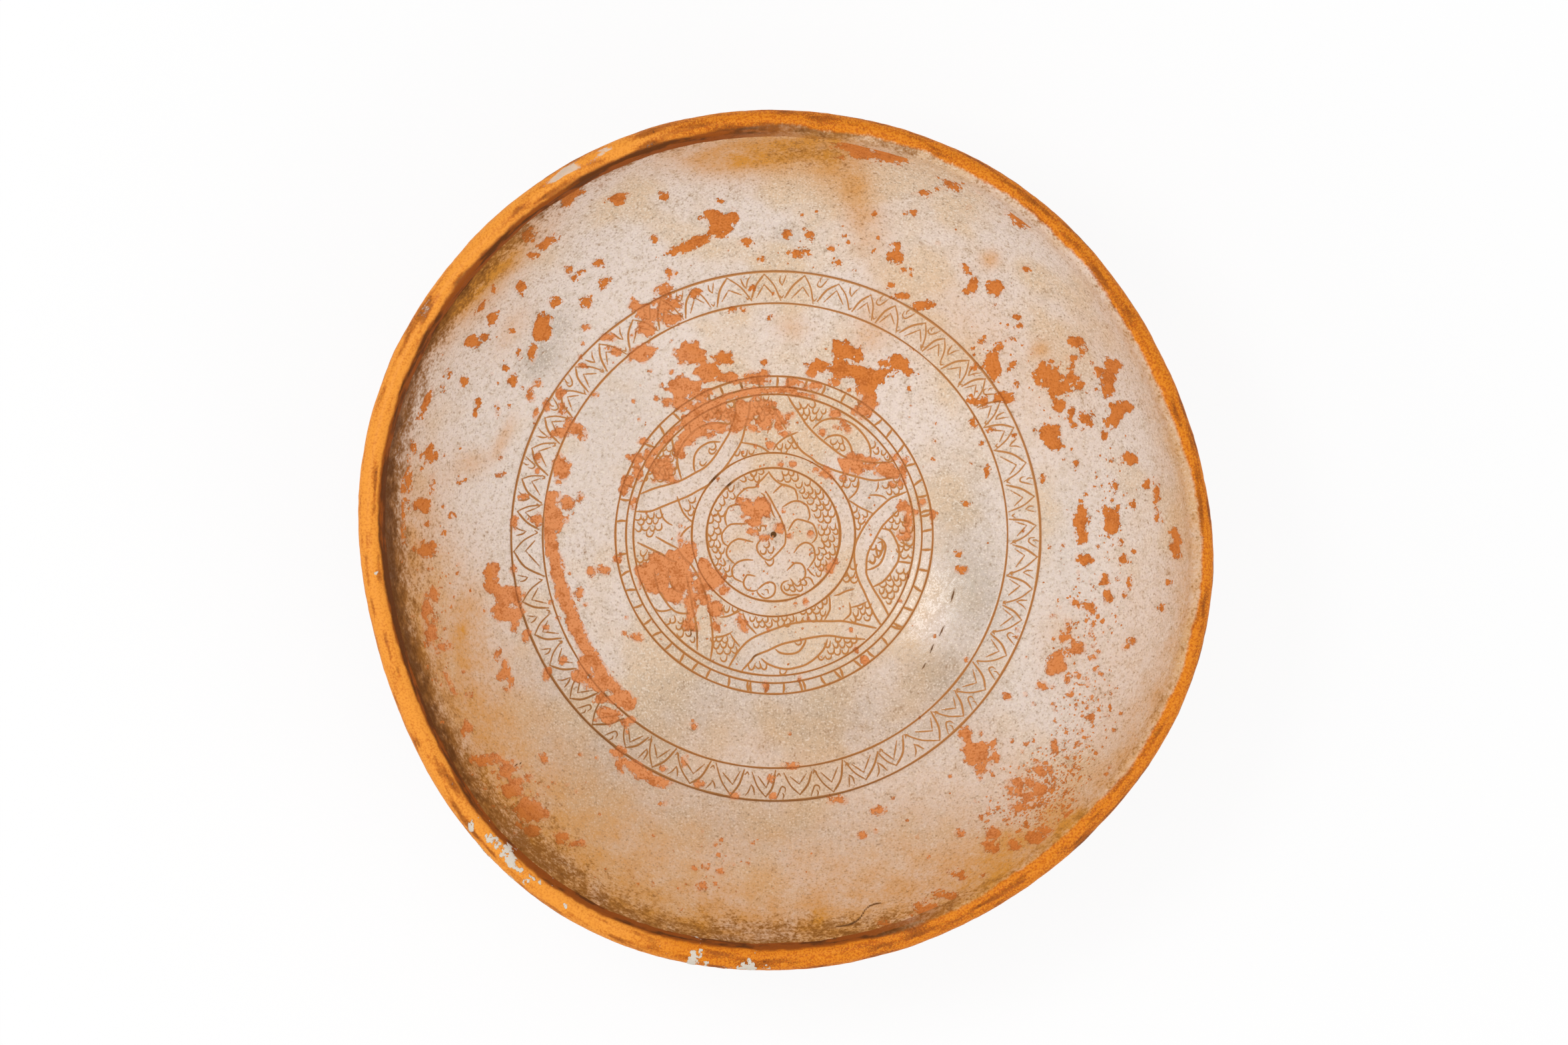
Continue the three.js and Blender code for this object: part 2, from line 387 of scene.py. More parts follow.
UPPER_RIGHT_RIBBON = [
    [(-0.9, 40.5), (0, 37.5), (1.5, 35.1), (2.8, 32.9), (3.7, 31.5)],
    [(4.2, 41.4), (5.5, 39.1), (8.3, 35.1), (9.8, 32.8), (12.9, 29.5), (17.2, 26), (19.4, 24.3),
     (21.5, 23.1), (24.3, 22.3), (27.1, 21.8), (29.5, 21.5), (32, 21.5), (34.8, 21.8), (37.2, 23.4)],
    [(5.1, 29.8), (7.1, 26.5), (8.9, 24.5), (11.4, 22.8), (13.5, 21.2), (18.5, 19.1), (24.3, 17.4),
     (28.9, 16.3), (31.4, 16.3), (34.2, 16.8), (37.2, 17.4)],
    [(11.7, 31.7), (12.9, 32.9), (14.5, 34), (16.6, 34.6), (19.1, 34.6), (21.5, 34), (24, 32.6),
     (25.8, 30.9), (27.4, 28.9), (28.5, 26.8), (28.9, 24.6), (28.8, 23.1)],
    [(15.1, 28.3), (16.3, 29.2), (18.2, 29.7), (20, 29.5), (21.5, 28.6), (22.6, 27.1), (23.2, 25.5),
     (23.4, 23.7)],
]
RIGHT_RIBBON = [
    [(39.7, 12.9), (36.9, 11.7), (34.5, 10.6), (29.8, 6.2), (27.7, 3.4), (26.2, 0.9), (24.6, -2.5),
     (24.1, -6), (24.6, -10.8), (25.5, -13.8), (27.1, -17.2), (29.8, -23.4), (32.2, -27.4)],
    [(37.2, 7.4), (33.5, 3.7), (32, 1.8), (29.5, -2.8), (28.3, -5.2), (27.8, -7.4), (27.7, -9.8),
     (27.8, -12), (29.5, -15.7), (32.3, -20.3), (34.5, -24.6)],
    [(32.3, 1.8), (34.2, 1.5), (35.4, 0.3), (36.9, -2.8), (37.4, -5.2), (37.1, -7.7), (35.7, -10.2),
     (34.2, -12.3), (32.3, -14.2), (29.8, -15.5)],
    [(31.1, -0.9), (32.6, -1.8), (33.4, -3.4), (33.1, -5.5), (32.3, -7.7), (31.1, -9.2), (29.2, -10.2),
     (28, -10.5)],
    [(31.1, -2.5), (32.2, -2.2), (32.5, -3.7), (32, -5.8), (31.4, -6.8)],
    [(30.5, -3.1), (30.8, -5.5), (31.4, -7.1)],
    [(28.3, -8), (29.8, -8.6), (30.3, -6.8)],
    [(36.9, -8), (39.1, -8.2), (41.5, -8.6)],
    [(37.8, -2.2), (39.7, -3.1), (41.2, -4)],
]
LOWER_RIBBON = [
    [(-13.5, -39.4), (-11.1, -35.4), (-9.5, -33.4), (-7.7, -31.7), (-5.2, -30.2), (0, -28.2),
     (4.3, -26.8), (7.4, -26.2), (10.5, -25.8), (17.2, -25.8), (20.9, -25.8), (25.8, -26.8), (30.5, -27.8)],
    [(-9.5, -40.3), (-6.8, -37.5), (-5.5, -36), (-1.8, -34.5), (2.5, -32.6), (7.4, -31.5), (12.3, -30.5),
     (16.6, -30.1), (21.5, -30.8), (27.1, -31.1)],
    [(-3.7, -36.9), (-2.2, -38.2), (0, -39.2), (2.2, -39.8), (4.3, -40), (6.8, -39.5), (9.2, -38.8),
     (11.4, -37.5), (13.2, -36), (14.8, -34.2), (15.7, -32.3), (16, -31.1)],
    [(0.6, -34.2), (1.8, -35.1), (3.7, -35.5), (5.8, -35.4), (7.4, -34.8), (8.6, -33.5), (9.4, -32),
     (9.7, -30.8)],
]
LOWER_LEFT_RIBBON = [
    [(-35.1, -0.5), (-32, -2.3), (-28.6, -4)],
    [(-27.7, -0.6), (-27, 0.6), (-25.8, 1.8), (-24.4, 2.8)],
    [(-40.6, -2.2), (-35.7, -4.6), (-33.2, -5.8), (-30.8, -7.4), (-28.9, -8)],
    [(-28.3, -4.6), (-26.5, -7.1), (-24.6, -8.9), (-22.5, -12.3), (-20.9, -15.7), (-19.4, -21.2),
     (-18.8, -24.6), (-18.3, -28.6), (-18.3, -32.6), (-18.9, -36.9)],
    [(-26, -12.3), (-24.9, -17.2), (-24.3, -20.9), (-23.2, -26.5), (-22.9, -28.9), (-22.9, -34.2)],
    [(-35.5, -10.2), (-35.4, -12), (-34.9, -14.2), (-34.2, -16.6), (-32.9, -18.8), (-31.4, -20.9),
     (-29.8, -22.5), (-28.3, -23.2), (-26.5, -23.4), (-24.9, -23.2)],
    [(-31.2, -10.2), (-31.4, -12.3), (-30.9, -13.8), (-30.2, -15.4), (-28.9, -16.6), (-27.1, -17.2)],
]
ribbons = UPPER_LEFT_RIBBON + UPPER_RIGHT_RIBBON + RIGHT_RIBBON + LOWER_RIBBON + LOWER_LEFT_RIBBON
print(len(ribbons), "strokes draw the ribbons")

# %% Strokes of the lilies
LILIES = [
    [(-34, 8.3), (-33.5, 6.5), (-32.9, 4.9), (-31.7, 3.7), (-30.3, 2.9)],
    [(-28.8, 11.4), (-27.7, 8.3), (-26.8, 6.5), (-25.2, 4.6), (-22.2, 2.6)],
    [(-9.7, 27.5), (-7.1, 27.1), (-4.9, 26.6), (-3.1, 25.8), (-0.6, 24)],
    [(-1.8, 30.3), (-1.4, 31.7), (0, 33.7)],
    [(0, 25.2), (0.9, 26.8), (2.5, 28.3), (4.3, 29.4), (7.2, 30.6)],
    [(25.2, 16.9), (25.4, 15.4), (25.1, 13.8), (24.3, 12.3), (22.5, 10.6)],
    [(22.6, 10.2), (25.5, 8.3), (27.7, 7.2), (29.8, 6.2)],
    [(28.6, 11.8), (30.8, 11.8), (32.6, 11.4), (33.7, 10.6)],
    [(30.5, 12.9), (31.1, 14.2), (31.2, 15.7)],
    [(16.5, -17.8), (16.8, -19.7), (16.8, -22.2), (16, -24), (15.2, -25.5)],
    [(18.2, -18.2), (19.7, -17.8), (21.5, -16.9), (24, -16.2)],
    [(22.6, -20.3), (22.9, -21.8), (22.8, -23.7), (20.9, -25.5)],
    [(23.1, -21.7), (25.5, -21.1), (27.7, -20)],
    [(-35.8, -21.5), (-34.5, -22.5), (-32.6, -22.6), (-30.2, -22)],
    [(-16, -24.6), (-13.5, -24.2), (-9.8, -22.6)],
    [(-9.1, -23.4), (-8.6, -24.9), (-7.7, -26.8), (-5.2, -29.5)],
    [(-18, -30.6), (-15.7, -30.3), (-13.8, -29.7), (-12.3, -28.8)],
    [(-12.9, -29.5), (-12, -31.1), (-10.2, -33.2)],
]
knot_strokes = drawn(ribbons, RIBBON_LINE) + drawn(LILIES, FINE_LINE)
print(len(knot_strokes), "strokes draw the knot, with the lilies")

# %% [markdown]
# ## Scales that fill the ground
#
# The potter filled the ground between ribbons and leaves with rows of small hooks, like fish scales.
# They are too many to list, and no two are alike, so each patch of ground is an outline and a seeded
# draw fills it: a staggered lattice of hooks, each one nudged and turned a little.

# %% Patches of ground
ROUNDEL_GROUND = [
    [(-11.5, 15.8), (-10.9, 11.5), (-14.6, 8.5), (-15.2, 4), (-16, 0), (-15, -4.5), (-13.8, -9.5),
     (-11.5, -15.5), (-15.5, -11.8), (-18.6, -6.5), (-19.4, 0), (-18.2, 7), (-15.5, 12)],
    [(-12, 15.4), (-8.5, 14.8), (-5.8, 15.2), (-2.5, 18.9), (-8, 17.9)],
    [(8.5, 10.6), (11.6, 7.5), (13.6, 2), (13.3, -2.8), (13, -8), (11.6, -11.6), (13.5, -14),
     (16.5, -10.2), (19.2, -3), (19, 4), (16, 10.8), (11.5, 15.5), (6.5, 18.2), (2, 18.8), (1.5, 16.5),
     (6, 15)],
    [(3, -13.2), (6, -12.6), (9.4, -13.4), (9.6, -16), (6, -18), (3, -17.2)],
    [(-3.9, -3), (2.6, -3.2), (0.3, -6), (-2.3, -6.8)],
]
KNOT_GROUND = [
    [(-27.5, 9.8), (-21, 13.2), (-24, 4.5)],
    [(-41, 6.5), (-34, 7), (-33, 3), (-36, 0), (-41.5, 0)],
    [(-38, 15), (-29, 17), (-29.5, 27), (-33, 27), (-39, 18)],
    [(-24, 34), (-13, 33.5), (-12, 39), (-20, 36.5)],
    [(-6.5, 33), (0, 36), (-1, 41), (-6.5, 40)],
    [(-11, 24.5), (-3, 25.8), (-5, 24.3), (-12, 22.5)],
    [(1, 26), (5, 29.3), (8, 25.5), (3, 24.6)],
    [(6, 40.5), (10, 33), (14, 34.5), (17, 36.5), (12, 39.5)],
    [(29.5, 27.5), (29.5, 23), (36, 22.8), (33, 26)],
    [(18, 18.5), (24.5, 17), (24.8, 14), (22.5, 11), (20, 15)],
    [(23, 8.5), (28.5, 6.5), (26.5, 2), (24.6, 2)],
    [(31.5, 15.5), (38, 16.5), (39, 13.3), (34, 11)],
    [(37.5, 6), (41.5, 2), (41.5, -8), (37.5, -7)],
    [(33, 3), (37, 7), (40, 4), (36.5, 0.5)],
    [(31, -16), (36, -11), (40.5, -9), (35, -22)],
    [(21, -12), (23.8, -9), (25.3, -14.5), (21.5, -15.5)],
    [(23, -22), (28, -20.7), (30.5, -27), (24, -25.5), (22.5, -24.5)],
    [(0, -25), (8, -22.8), (16, -19.5), (15, -25.3), (2, -27)],
    [(16.5, -31), (26, -31.5), (22, -35), (13, -38.5), (15.5, -34)],
    [(-8, -40), (-5.5, -37), (-1, -39.5), (5, -41), (-2, -41)],
    [(-41, -3), (-36, -5), (-36, -9), (-40.5, -9)],
    [(-34, -24), (-26, -24), (-24, -27), (-23.5, -33), (-28, -30)],
    [(-8.5, -24.5), (0, -24.8), (0, -28), (-4.5, -29), (-7.5, -27)],
    [(-18, -31), (-13, -30.5), (-10.5, -33.5), (-14, -38.5), (-18.3, -36)],
    [(-16, -24), (-10, -22.7), (-14.5, -20.5), (-17, -22)],
    [(-23, 21), (-18, 26.5), (-16, 27), (-21, 21)],
    [(15.5, 28), (19, 29.3), (23, 25), (21, 24), (17.5, 26.3)],
    [(29.5, -3.5), (32.5, -3), (32, -7.5), (28.5, -9.5), (28.5, -6)],
    [(2, -34), (8.5, -33), (8, -31.8), (3.5, -32.7)],
]
print(len(ROUNDEL_GROUND) + len(KNOT_GROUND), "patches of ground to fill")

# %% Fill the patches with hooks
MARK_LINE = 0.27
MARK_PITCH = 2.15
MARK_ROW = 1.8
MARK_NUDGE = 0.35
HOOK = np.array([(-0.95, 0.6), (-0.75, -0.3), (-0.05, -0.65), (0.6, -0.2), (0.95, 1.0)])


def inside_outline(spots, outline):
    """True where a ray to the right of a spot crosses the outline's sides an odd number of times."""
    start = np.array(outline, float)
    end = np.roll(start, -1, axis=0)
    x, y = spots[:, :1], spots[:, 1:]
    crossed = (start[:, 1] > y) != (end[:, 1] > y)
    level = np.where(end[:, 1] == start[:, 1], 1, end[:, 1] - start[:, 1])
    at = start[:, 0] + (y - start[:, 1]) * (end[:, 0] - start[:, 0]) / level
    return (crossed & (x < at)).sum(axis=1) % 2 == 1


def scale_marks(patches, slant, seed):
    """Hooks on a staggered lattice in each patch, leaning by slant degrees, each nudged and turned."""
    draw = np.random.default_rng(seed)
    strokes = []
    for outline in patches:
        low, high = np.min(outline, axis=0), np.max(outline, axis=0)
        rows = np.arange(low[1], high[1], MARK_ROW)
        places = np.arange(low[0], high[0], MARK_PITCH)
        x, y = np.meshgrid(places, rows)
        x = x + (np.arange(len(rows)) % 2)[:, None] * MARK_PITCH / 2
        spots = np.stack([x.ravel(), y.ravel()], axis=-1)
        spots = spots + draw.uniform(-MARK_NUDGE, MARK_NUDGE, spots.shape)
        for spot in spots[inside_outline(spots, outline)]:
            turn = np.radians(slant + draw.uniform(-30, 30))
            rotation = np.array([(np.cos(turn), np.sin(turn)), (-np.sin(turn), np.cos(turn))])
            turned = HOOK * draw.uniform(0.8, 1.2, 2) @ rotation
            strokes.append((smooth_line(spot + turned, 3), MARK_LINE))
    return strokes


roundel_strokes += scale_marks(ROUNDEL_GROUND, 25, 11)
knot_strokes += scale_marks(KNOT_GROUND, 10, 12)
print("with scales:", len(roundel_strokes), "strokes in the roundel,", len(knot_strokes), "in the knot")

# %% [markdown]
# ## Dashes and zigzag
#
# Two narrow borders are easier to write in polar form, as an angle round the wheel and a radius. The
# border of the medallion has short dashes across it. The band has teeth: a wide peak, a smaller one
# inside it, and little hooks that hang between two peaks from the outer line.

# %% Where the dashes and the teeth stand
DASHES = [
    1.6, 7.5, 8.7, 14.7, 20, 27.1, 34.3, 41.3, 47.3, 56.8, 63.2, 71.3, 78.2, 84.8, 88.9, 96, 102.4, 110,
    115.4, 129.5, 137, 144.2, 149.7, 154, 161.5, 166.5, 174.8, 187.2, 194.4, 201, 207.4, 214.3, 220.1,
    226.4, 233, 239, 244.6, 252.7, 260.2, 261.3, 267, 273.5, 280, 281.2, 288.7, 294.5, 296, 302.9, 309.2,
    316.1, 322.8, 324, 331.2, 339.5, 346.7, 354.5,
]
TEETH = [  # left foot, peak and right foot, in degrees
    (-2, 2.3, 4), (5.8, 8.7, 12.3), (13.3, 16.3, 21.3), (21.3, 24.5, 27.4), (27.4, 31, 32.4),
    (33.8, 36.9, 38.7), (39.2, 42.3, 45.2), (46.5, 49.5, 51.5), (51.9, 54.9, 58.6), (59.3, 62.6, 64.9),
    (66, 68.5, 71.2), (72, 76, 79.9), (80.8, 83.7, 87.8), (88.7, 92.6, 95.9), (95.8, 100.8, 104.3),
    (105.8, 108.7, 112.4), (113, 116, 119.3), (119.8, 123.5, 128.2), (129.3, 132.6, 135.6),
    (136.2, 139.8, 142.4), (143.2, 146.1, 149.7), (150.3, 152.8, 156.8), (157, 160.1, 165),
    (165.4, 167.2, 171.9), (172.3, 174.4, 178.3), (179.2, 183.2, 189.8), (190.5, 194.4, 197.5),
    (198.8, 202.1, 205.4), (206, 209.6, 213.5), (214.8, 218.1, 221.4), (222.8, 225.6, 230.2),
    (231, 234.5, 237.7), (238.2, 241.7, 245), (245.5, 250.7, 254), (255.3, 260, 262.4),
    (264.3, 267.7, 270), (272, 275.3, 278.7), (279.3, 282.7, 286.6), (287, 290.3, 295.4),
    (295.2, 297.7, 302.5), (302.9, 308.7, 311.5), (311.8, 316.2, 319), (319, 323.7, 327.4),
    (328, 332.6, 335.5), (335.8, 341.1, 343), (343.4, 348.3, 350.2), (350.3, 355.4, 357.8),
]
print(len(DASHES), "dashes and", len(TEETH), "teeth")

# %% Strokes of the dash border
DASH_LINE = 0.4
BORDER_MIDDLE = 45.7


def round_the_wheel(places):
    """Plan points in mm from pairs of an angle in degrees and a radius."""
    degrees, radius = np.array(places, float).T
    angle = np.radians(degrees)
    return np.stack([radius * np.cos(angle), radius * np.sin(angle)], axis=-1)


def dash_strokes(seed):
    """Short lines across the border, each leaning a little."""
    draw = np.random.default_rng(seed)
    strokes = []
    for angle in DASHES:
        lean, bow = draw.uniform(-0.7, 0.7), draw.uniform(-0.3, 0.3)
        inner_end, outer_end = (angle - lean, BORDER_INNER_LINE), (angle + lean, BORDER_OUTER_LINE)
        places = [inner_end, (angle + bow, BORDER_MIDDLE), outer_end]
        strokes.append((smooth_line(round_the_wheel(places)), DASH_LINE))
    return strokes


border_strokes = dash_strokes(21)
print(len(border_strokes), "strokes cross the border")

# %% Strokes of the zigzag band
HEAVY_LEG = 0.3
LIGHT_LEG = 0.22
FOOT_RADII = (69.6, 71)
PEAK_RADII = (76.8, 78)
INNER_PEAK = 73.9
INNER_LEFT_FOOT = 71.3
INNER_RIGHT_FOOT = 70.5
HOOK_DIPS = (74.3, 75.4)
SPLIT_HOOKS = 0.6  # share of the hooks drawn as two strokes that meet


def tooth_strokes(seed):
    """Two bowed legs for each tooth, a smaller tooth within, and hooks between this tooth and the next."""
    draw = np.random.default_rng(seed)
    strokes = []
    next_peaks = [peak for _, peak, _ in TEETH[1:]] + [TEETH[0][1] + 360]
    for (left, peak, right), next_peak in zip(TEETH, next_peaks):
        top, start, end = draw.uniform(*PEAK_RADII), draw.uniform(*FOOT_RADII), draw.uniform(*FOOT_RADII)
        middle = (top + start) / 2
        left_leg = [(left, start), ((left + peak) / 2 - 0.25, middle + 0.5), (peak, top)]
        right_leg = [(peak, top), ((peak + right) / 2 + 0.35, middle + 0.6), (right, end)]
        inner_peak = (peak + 0.1, INNER_PEAK + draw.uniform(0, 1.1))
        left_foot = (peak + 0.55 * (left - peak), INNER_LEFT_FOOT + draw.uniform(0, 1))
        right_foot = (peak + 0.6 * (right - peak), INNER_RIGHT_FOOT + draw.uniform(0, 0.8))
        hang = (peak + next_peak) / 2 + draw.uniform(-0.4, 0.6)
        dip, curl = draw.uniform(*HOOK_DIPS), draw.uniform(0.6, 1.3)
        hook = [(hang - 1.3, 77.8), (hang - 0.7, 76.2), (hang, dip)]
        hook += [(hang + 0.8, dip + 0.4), (hang + curl, dip + 1.7)]
        second = [(hang + 0.1, 77.9), (hang + 0.4, 77), (hang + 0.2, 76.3)]
        if draw.uniform() < SPLIT_HOOKS:
            hook = [(hang - curl, 77.4), (hang - 0.35, 76.1), (hang + 0.1, dip - 0.6)]
            second = [(hang + 0.1, dip - 0.6), (hang + 0.7, dip + 0.5), (hang + curl, 76.9)]
        wave = [(right + 0.3, 71.4), (right + 0.8, 70.6), (right + 1.2, 71.3)]
        for places, width in [
            (left_leg, LIGHT_LEG), (right_leg, HEAVY_LEG), ([left_foot, inner_peak], LIGHT_LEG),
            ([inner_peak, right_foot], LIGHT_LEG), (hook, LIGHT_LEG), (second, MARK_LINE),
            (wave, MARK_LINE),
        ]:
            strokes.append((smooth_line(round_the_wheel(places), 4), width))
    return strokes


band_strokes = tooth_strokes(22)
print(len(band_strokes), "strokes draw the zigzag")

# %% [markdown]
# ## Circles and scratches
#
# The circles were cut while the bowl still turned on the wheel, so they are true, and only their width
# changes. Later use left a few dark scratches, which are strokes like the others.

# %% Circles cut on the wheel, and scratches
CIRCLES = [  # radius and half width
    (ROUNDEL_LINE, 0.36), (RING_LINE, 0.3), (KNOT_LINE, 0.3), (BORDER_INNER_LINE, 0.3),
    (BORDER_OUTER_LINE, 0.32), (BAND_INNER_LINE, 0.28), (BAND_OUTER_LINE, 0.32),
]
SCRATCHES = [
    [(53.5, -16), (53.1, -18), (52.5, -20)],
    [(50.5, -27), (49.8, -28.4), (49, -30)],
    [(47.3, -32.5), (46.3, -35)],
    [(45, -38), (43.8, -40)],
    [(15.6, -113.2), (19.5, -112.6), (22.7, -111), (25, -108.3), (27.4, -107), (30, -106.7)],
    [(-83, -67), (-80, -68.4), (-79, -67.2), (-75, -65.7)],
    [(20.8, 89.1), (22.2, 88.9)],
    [(24.3, 88.1), (25.7, 87.9)],
]
SCRATCH_LINE = 0.22
COMPASS_HOLE = (0.1, 0.0)
COMPASS_RADIUS = 0.9
scratch_strokes = drawn(SCRATCHES, SCRATCH_LINE)


def radius_of(points):
    """Distance of each point from the wheel axis, in plan."""
    return np.hypot(points[..., 0], points[..., 1])


def circle_edge(points):
    """Signed distance to the nearest circle's edge: how far the radius is off, less the half width.

    The width swings with noise, as the pressure of the hand did.
    """
    swing = 1 + 0.3 * rough_noise(points, 9, 31, 2)
    edges = [np.abs(radius_of(points) - line) - half_width * swing for line, half_width in CIRCLES]
    return np.min(edges, axis=0)


print(len(CIRCLES), "circles and", len(scratch_strokes), "scratches")

# %% [markdown]
# ## Flakes: where the slip came off
#
# The orange patches are bare clay. Most of what the eye knows this bowl by is where they lie, so the
# larger ones are listed as ellipses, and noise frays their edges. Each row gives the middle, the two
# half lengths and, where it lies askew, the angle of the first, all in plan.

# %% Flakes on the medallion
MEDALLION_FLAKES = [
    (-7, 7.5, 4.5, 3.2, -15), (-4, 9, 2.5, 2), (-6, 4, 2.5, 1.5), (-2, 6.5, 1.2, 1.8), (1.8, 2, 1.6, 1.6),
    (-2.5, -1.3, 1.6, 1), (-6.2, 0.8, 1.6, 0.9, -30), (4.6, -0.4, 0.9, 0.6), (11, 0.2, 0.7, 0.8),
    (16.3, -9.8, 2.3, 2), (18, -8, 1.3, 0.7), (-20.5, -10.5, 2.8, 3.2), (-17.5, -13.5, 3, 3.2),
    (-15, -16.5, 1.8, 1.8), (-26, -6, 2.5, 4), (-30, -9, 5, 3.5), (-35, -7, 3, 2), (-33, -14, 3, 5),
    (-27, -13, 5, 5), (-30, -17.5, 3, 2.5), (-25, -18, 2, 3), (-37, -12.5, 2.5, 3.5),
    (-39.5, -12, 1.5, 3), (-24.5, -23, 1.5, 4), (-25, -27, 2.5, 1.5), (-20.5, -19, 2, 1.2),
    (-17, -22, 2.2, 2.2), (-17.5, -26.5, 1.5, 2), (-9.5, -26.3, 1.5, 2.2, 30), (-27.8, -2.5, 1, 2.2),
    (-46.5, -7, 1.2, 1.5), (-41.2, -30.1, 1.5, 1.1), (-34, 19.5, 4, 4), (-31.5, 17, 2.5, 1.5),
    (-37, 22.5, 2, 3), (-40.5, 18.5, 1.5, 3), (-43.5, 16, 2.2, 2.2), (-45, 13.5, 1.8, 1.6),
    (-42, 10, 1, 1.8), (-41, 23, 2, 1.5), (-38.5, 28, 2, 1), (-26, 28.5, 3.5, 2.5), (-22, 30.5, 3, 2),
    (-19, 29.5, 2, 1.5), (-17, 32, 4, 1.5), (-28, 26, 1.8, 2.5), (-24, 34, 3.5, 2.5), (-19, 36, 4, 1.8),
    (-14, 36, 3, 2.5), (-9.5, 36, 2, 4), (-12, 31.5, 1.5, 1.2), (-4, 38.5, 3.5, 2), (-3, 34.5, 3.5, 1.5),
    (-6, 32, 1.5, 1), (-1, 26.5, 1, 1), (-27, 39, 3, 1.8), (-21, 42, 4, 1.5, 20), (-13, 41.5, 5, 0.9, 12),
    (-4, 43, 5, 0.9), (-10, 45.8, 2.5, 0.8), (-4, 45.8, 3, 0.8), (5, 43.2, 5, 0.9), (6.5, 45.6, 2.5, 1),
    (12.5, 44.5, 2.2, 1.1), (17.5, 45.3, 1.8, 0.8), (1.5, 34, 1.5, 2), (4.5, 35.5, 1.4, 0.8, 25),
    (3.3, 33.3, 0.8, 0.8), (3.5, 30, 1.2, 0.6), (11.5, 41.3, 1, 0.7), (18.5, 36, 2, 1.5),
    (14.6, 30.6, 0.9, 0.8), (18.6, 32.2, 0.6, 0.4), (20.8, 32.8, 0.9, 1.2), (22.2, 31.3, 1, 1.2),
    (15.8, 18.3, 2.2, 1.6, -30), (13.5, 19.5, 1.3, 0.7), (5.6, 21.1, 0.8, 0.7), (2.2, 21, 0.7, 0.5),
    (23, 21.5, 3, 3), (25, 19, 2.5, 1.5), (22.8, 23.5, 0.9, 1), (29, 22.3, 2.2, 0.8),
    (28, 20.3, 2.5, 0.9), (33, 19.5, 3, 1.8), (36, 18.3, 1.8, 1.5), (38.5, 19, 1.2, 2.5),
    (35.5, 23, 1.2, 0.9), (38.8, 22, 1.2, 0.8), (21, 16.8, 0.8, 0.9), (35, 15, 1.2, 1),
    (37.3, 15.5, 0.8, 0.9), (38.8, 8.8, 1.8, 1.5), (40.3, 3.5, 1.3, 3.5), (38.5, 0.5, 1.8, 1),
    (42.2, 6.5, 0.7, 0.7), (44, 9.8, 1.2, 1), (47.4, 6, 1.2, 1.7), (39, -0.8, 2, 1.2),
    (9.6, -20.2, 0.7, 0.9), (27, -37.3, 1, 1), (7.5, -42.5, 0.6, 0.9), (24.6, -34, 0.8, 1),
    (-2.5, -45.5, 0.8, 1.2), (28, 40, 2.5, 4), (26, 36.5, 3, 2), (-20, 37.5, 7, 3, 28),
    (-6, 37, 5.5, 3.2), (-3, 33.8, 3, 1.8), (-11, 33.5, 2.5, 2.2), (-35, -9.5, 4, 3), (-22, -14.5, 3.5, 3),
]
print(len(MEDALLION_FLAKES), "flakes on the medallion")

# %% Flakes between the medallion and the wall
PLAIN_ZONE_FLAKES = [
    (21, 54.5, 3.5, 3), (25, 53, 2, 2.5), (20, 51, 2.5, 2), (13, 50.5, 3.5, 1.8), (11, 48, 2, 1.5),
    (22, 49, 5, 2.5), (27, 45, 3, 5), (30, 47, 3, 2.5), (33, 48.5, 3, 1.8), (37, 51, 3, 2.2),
    (40, 48.5, 2, 1.3), (33, 51, 2, 1), (-25, 54, 4, 3), (-28, 52.5, 1.5, 2), (-15.7, 52.5, 3, 1.8),
    (-20.4, 48.5, 4, 3), (-26.6, 43.8, 5, 4), (-32, 40, 2, 1.5), (-15, 47, 5, 1.5), (-5, 47, 4, 1.2),
    (-2.8, 51.3, 1, 1), (-3, 48.6, 1.3, 1), (-54, 42, 1, 0.7), (-57.9, 11.8, 1.1, 1.7),
    (-58.3, -17.3, 1.5, 1.5), (-54.5, -10.5, 1.5, 1.5), (-51.2, -10.2, 1.8, 1.1), (-47, -7.4, 1.2, 1.2),
    (-24, -56.2, 1, 1.2), (54.7, -5.5, 1.2, 0.9), (55.9, -10.2, 1.3, 1), (57.4, 9.4, 1.3, 0.9),
    (63, 18.5, 0.8, 1.3), (-56, -38, 3, 4), (-58, -41, 2.5, 2), (-52, -43, 4, 3), (-46, -48, 4, 3),
    (-49, -53, 4, 2.5), (-44, -55, 2, 1.5), (-51.5, -48, 2, 1.2), (-61.8, 9, 2, 2.5), (-65, 4.5, 3, 4),
    (-63.7, 20.5, 2.3, 3.8), (-59.5, 32, 2, 3.5, 50),
]
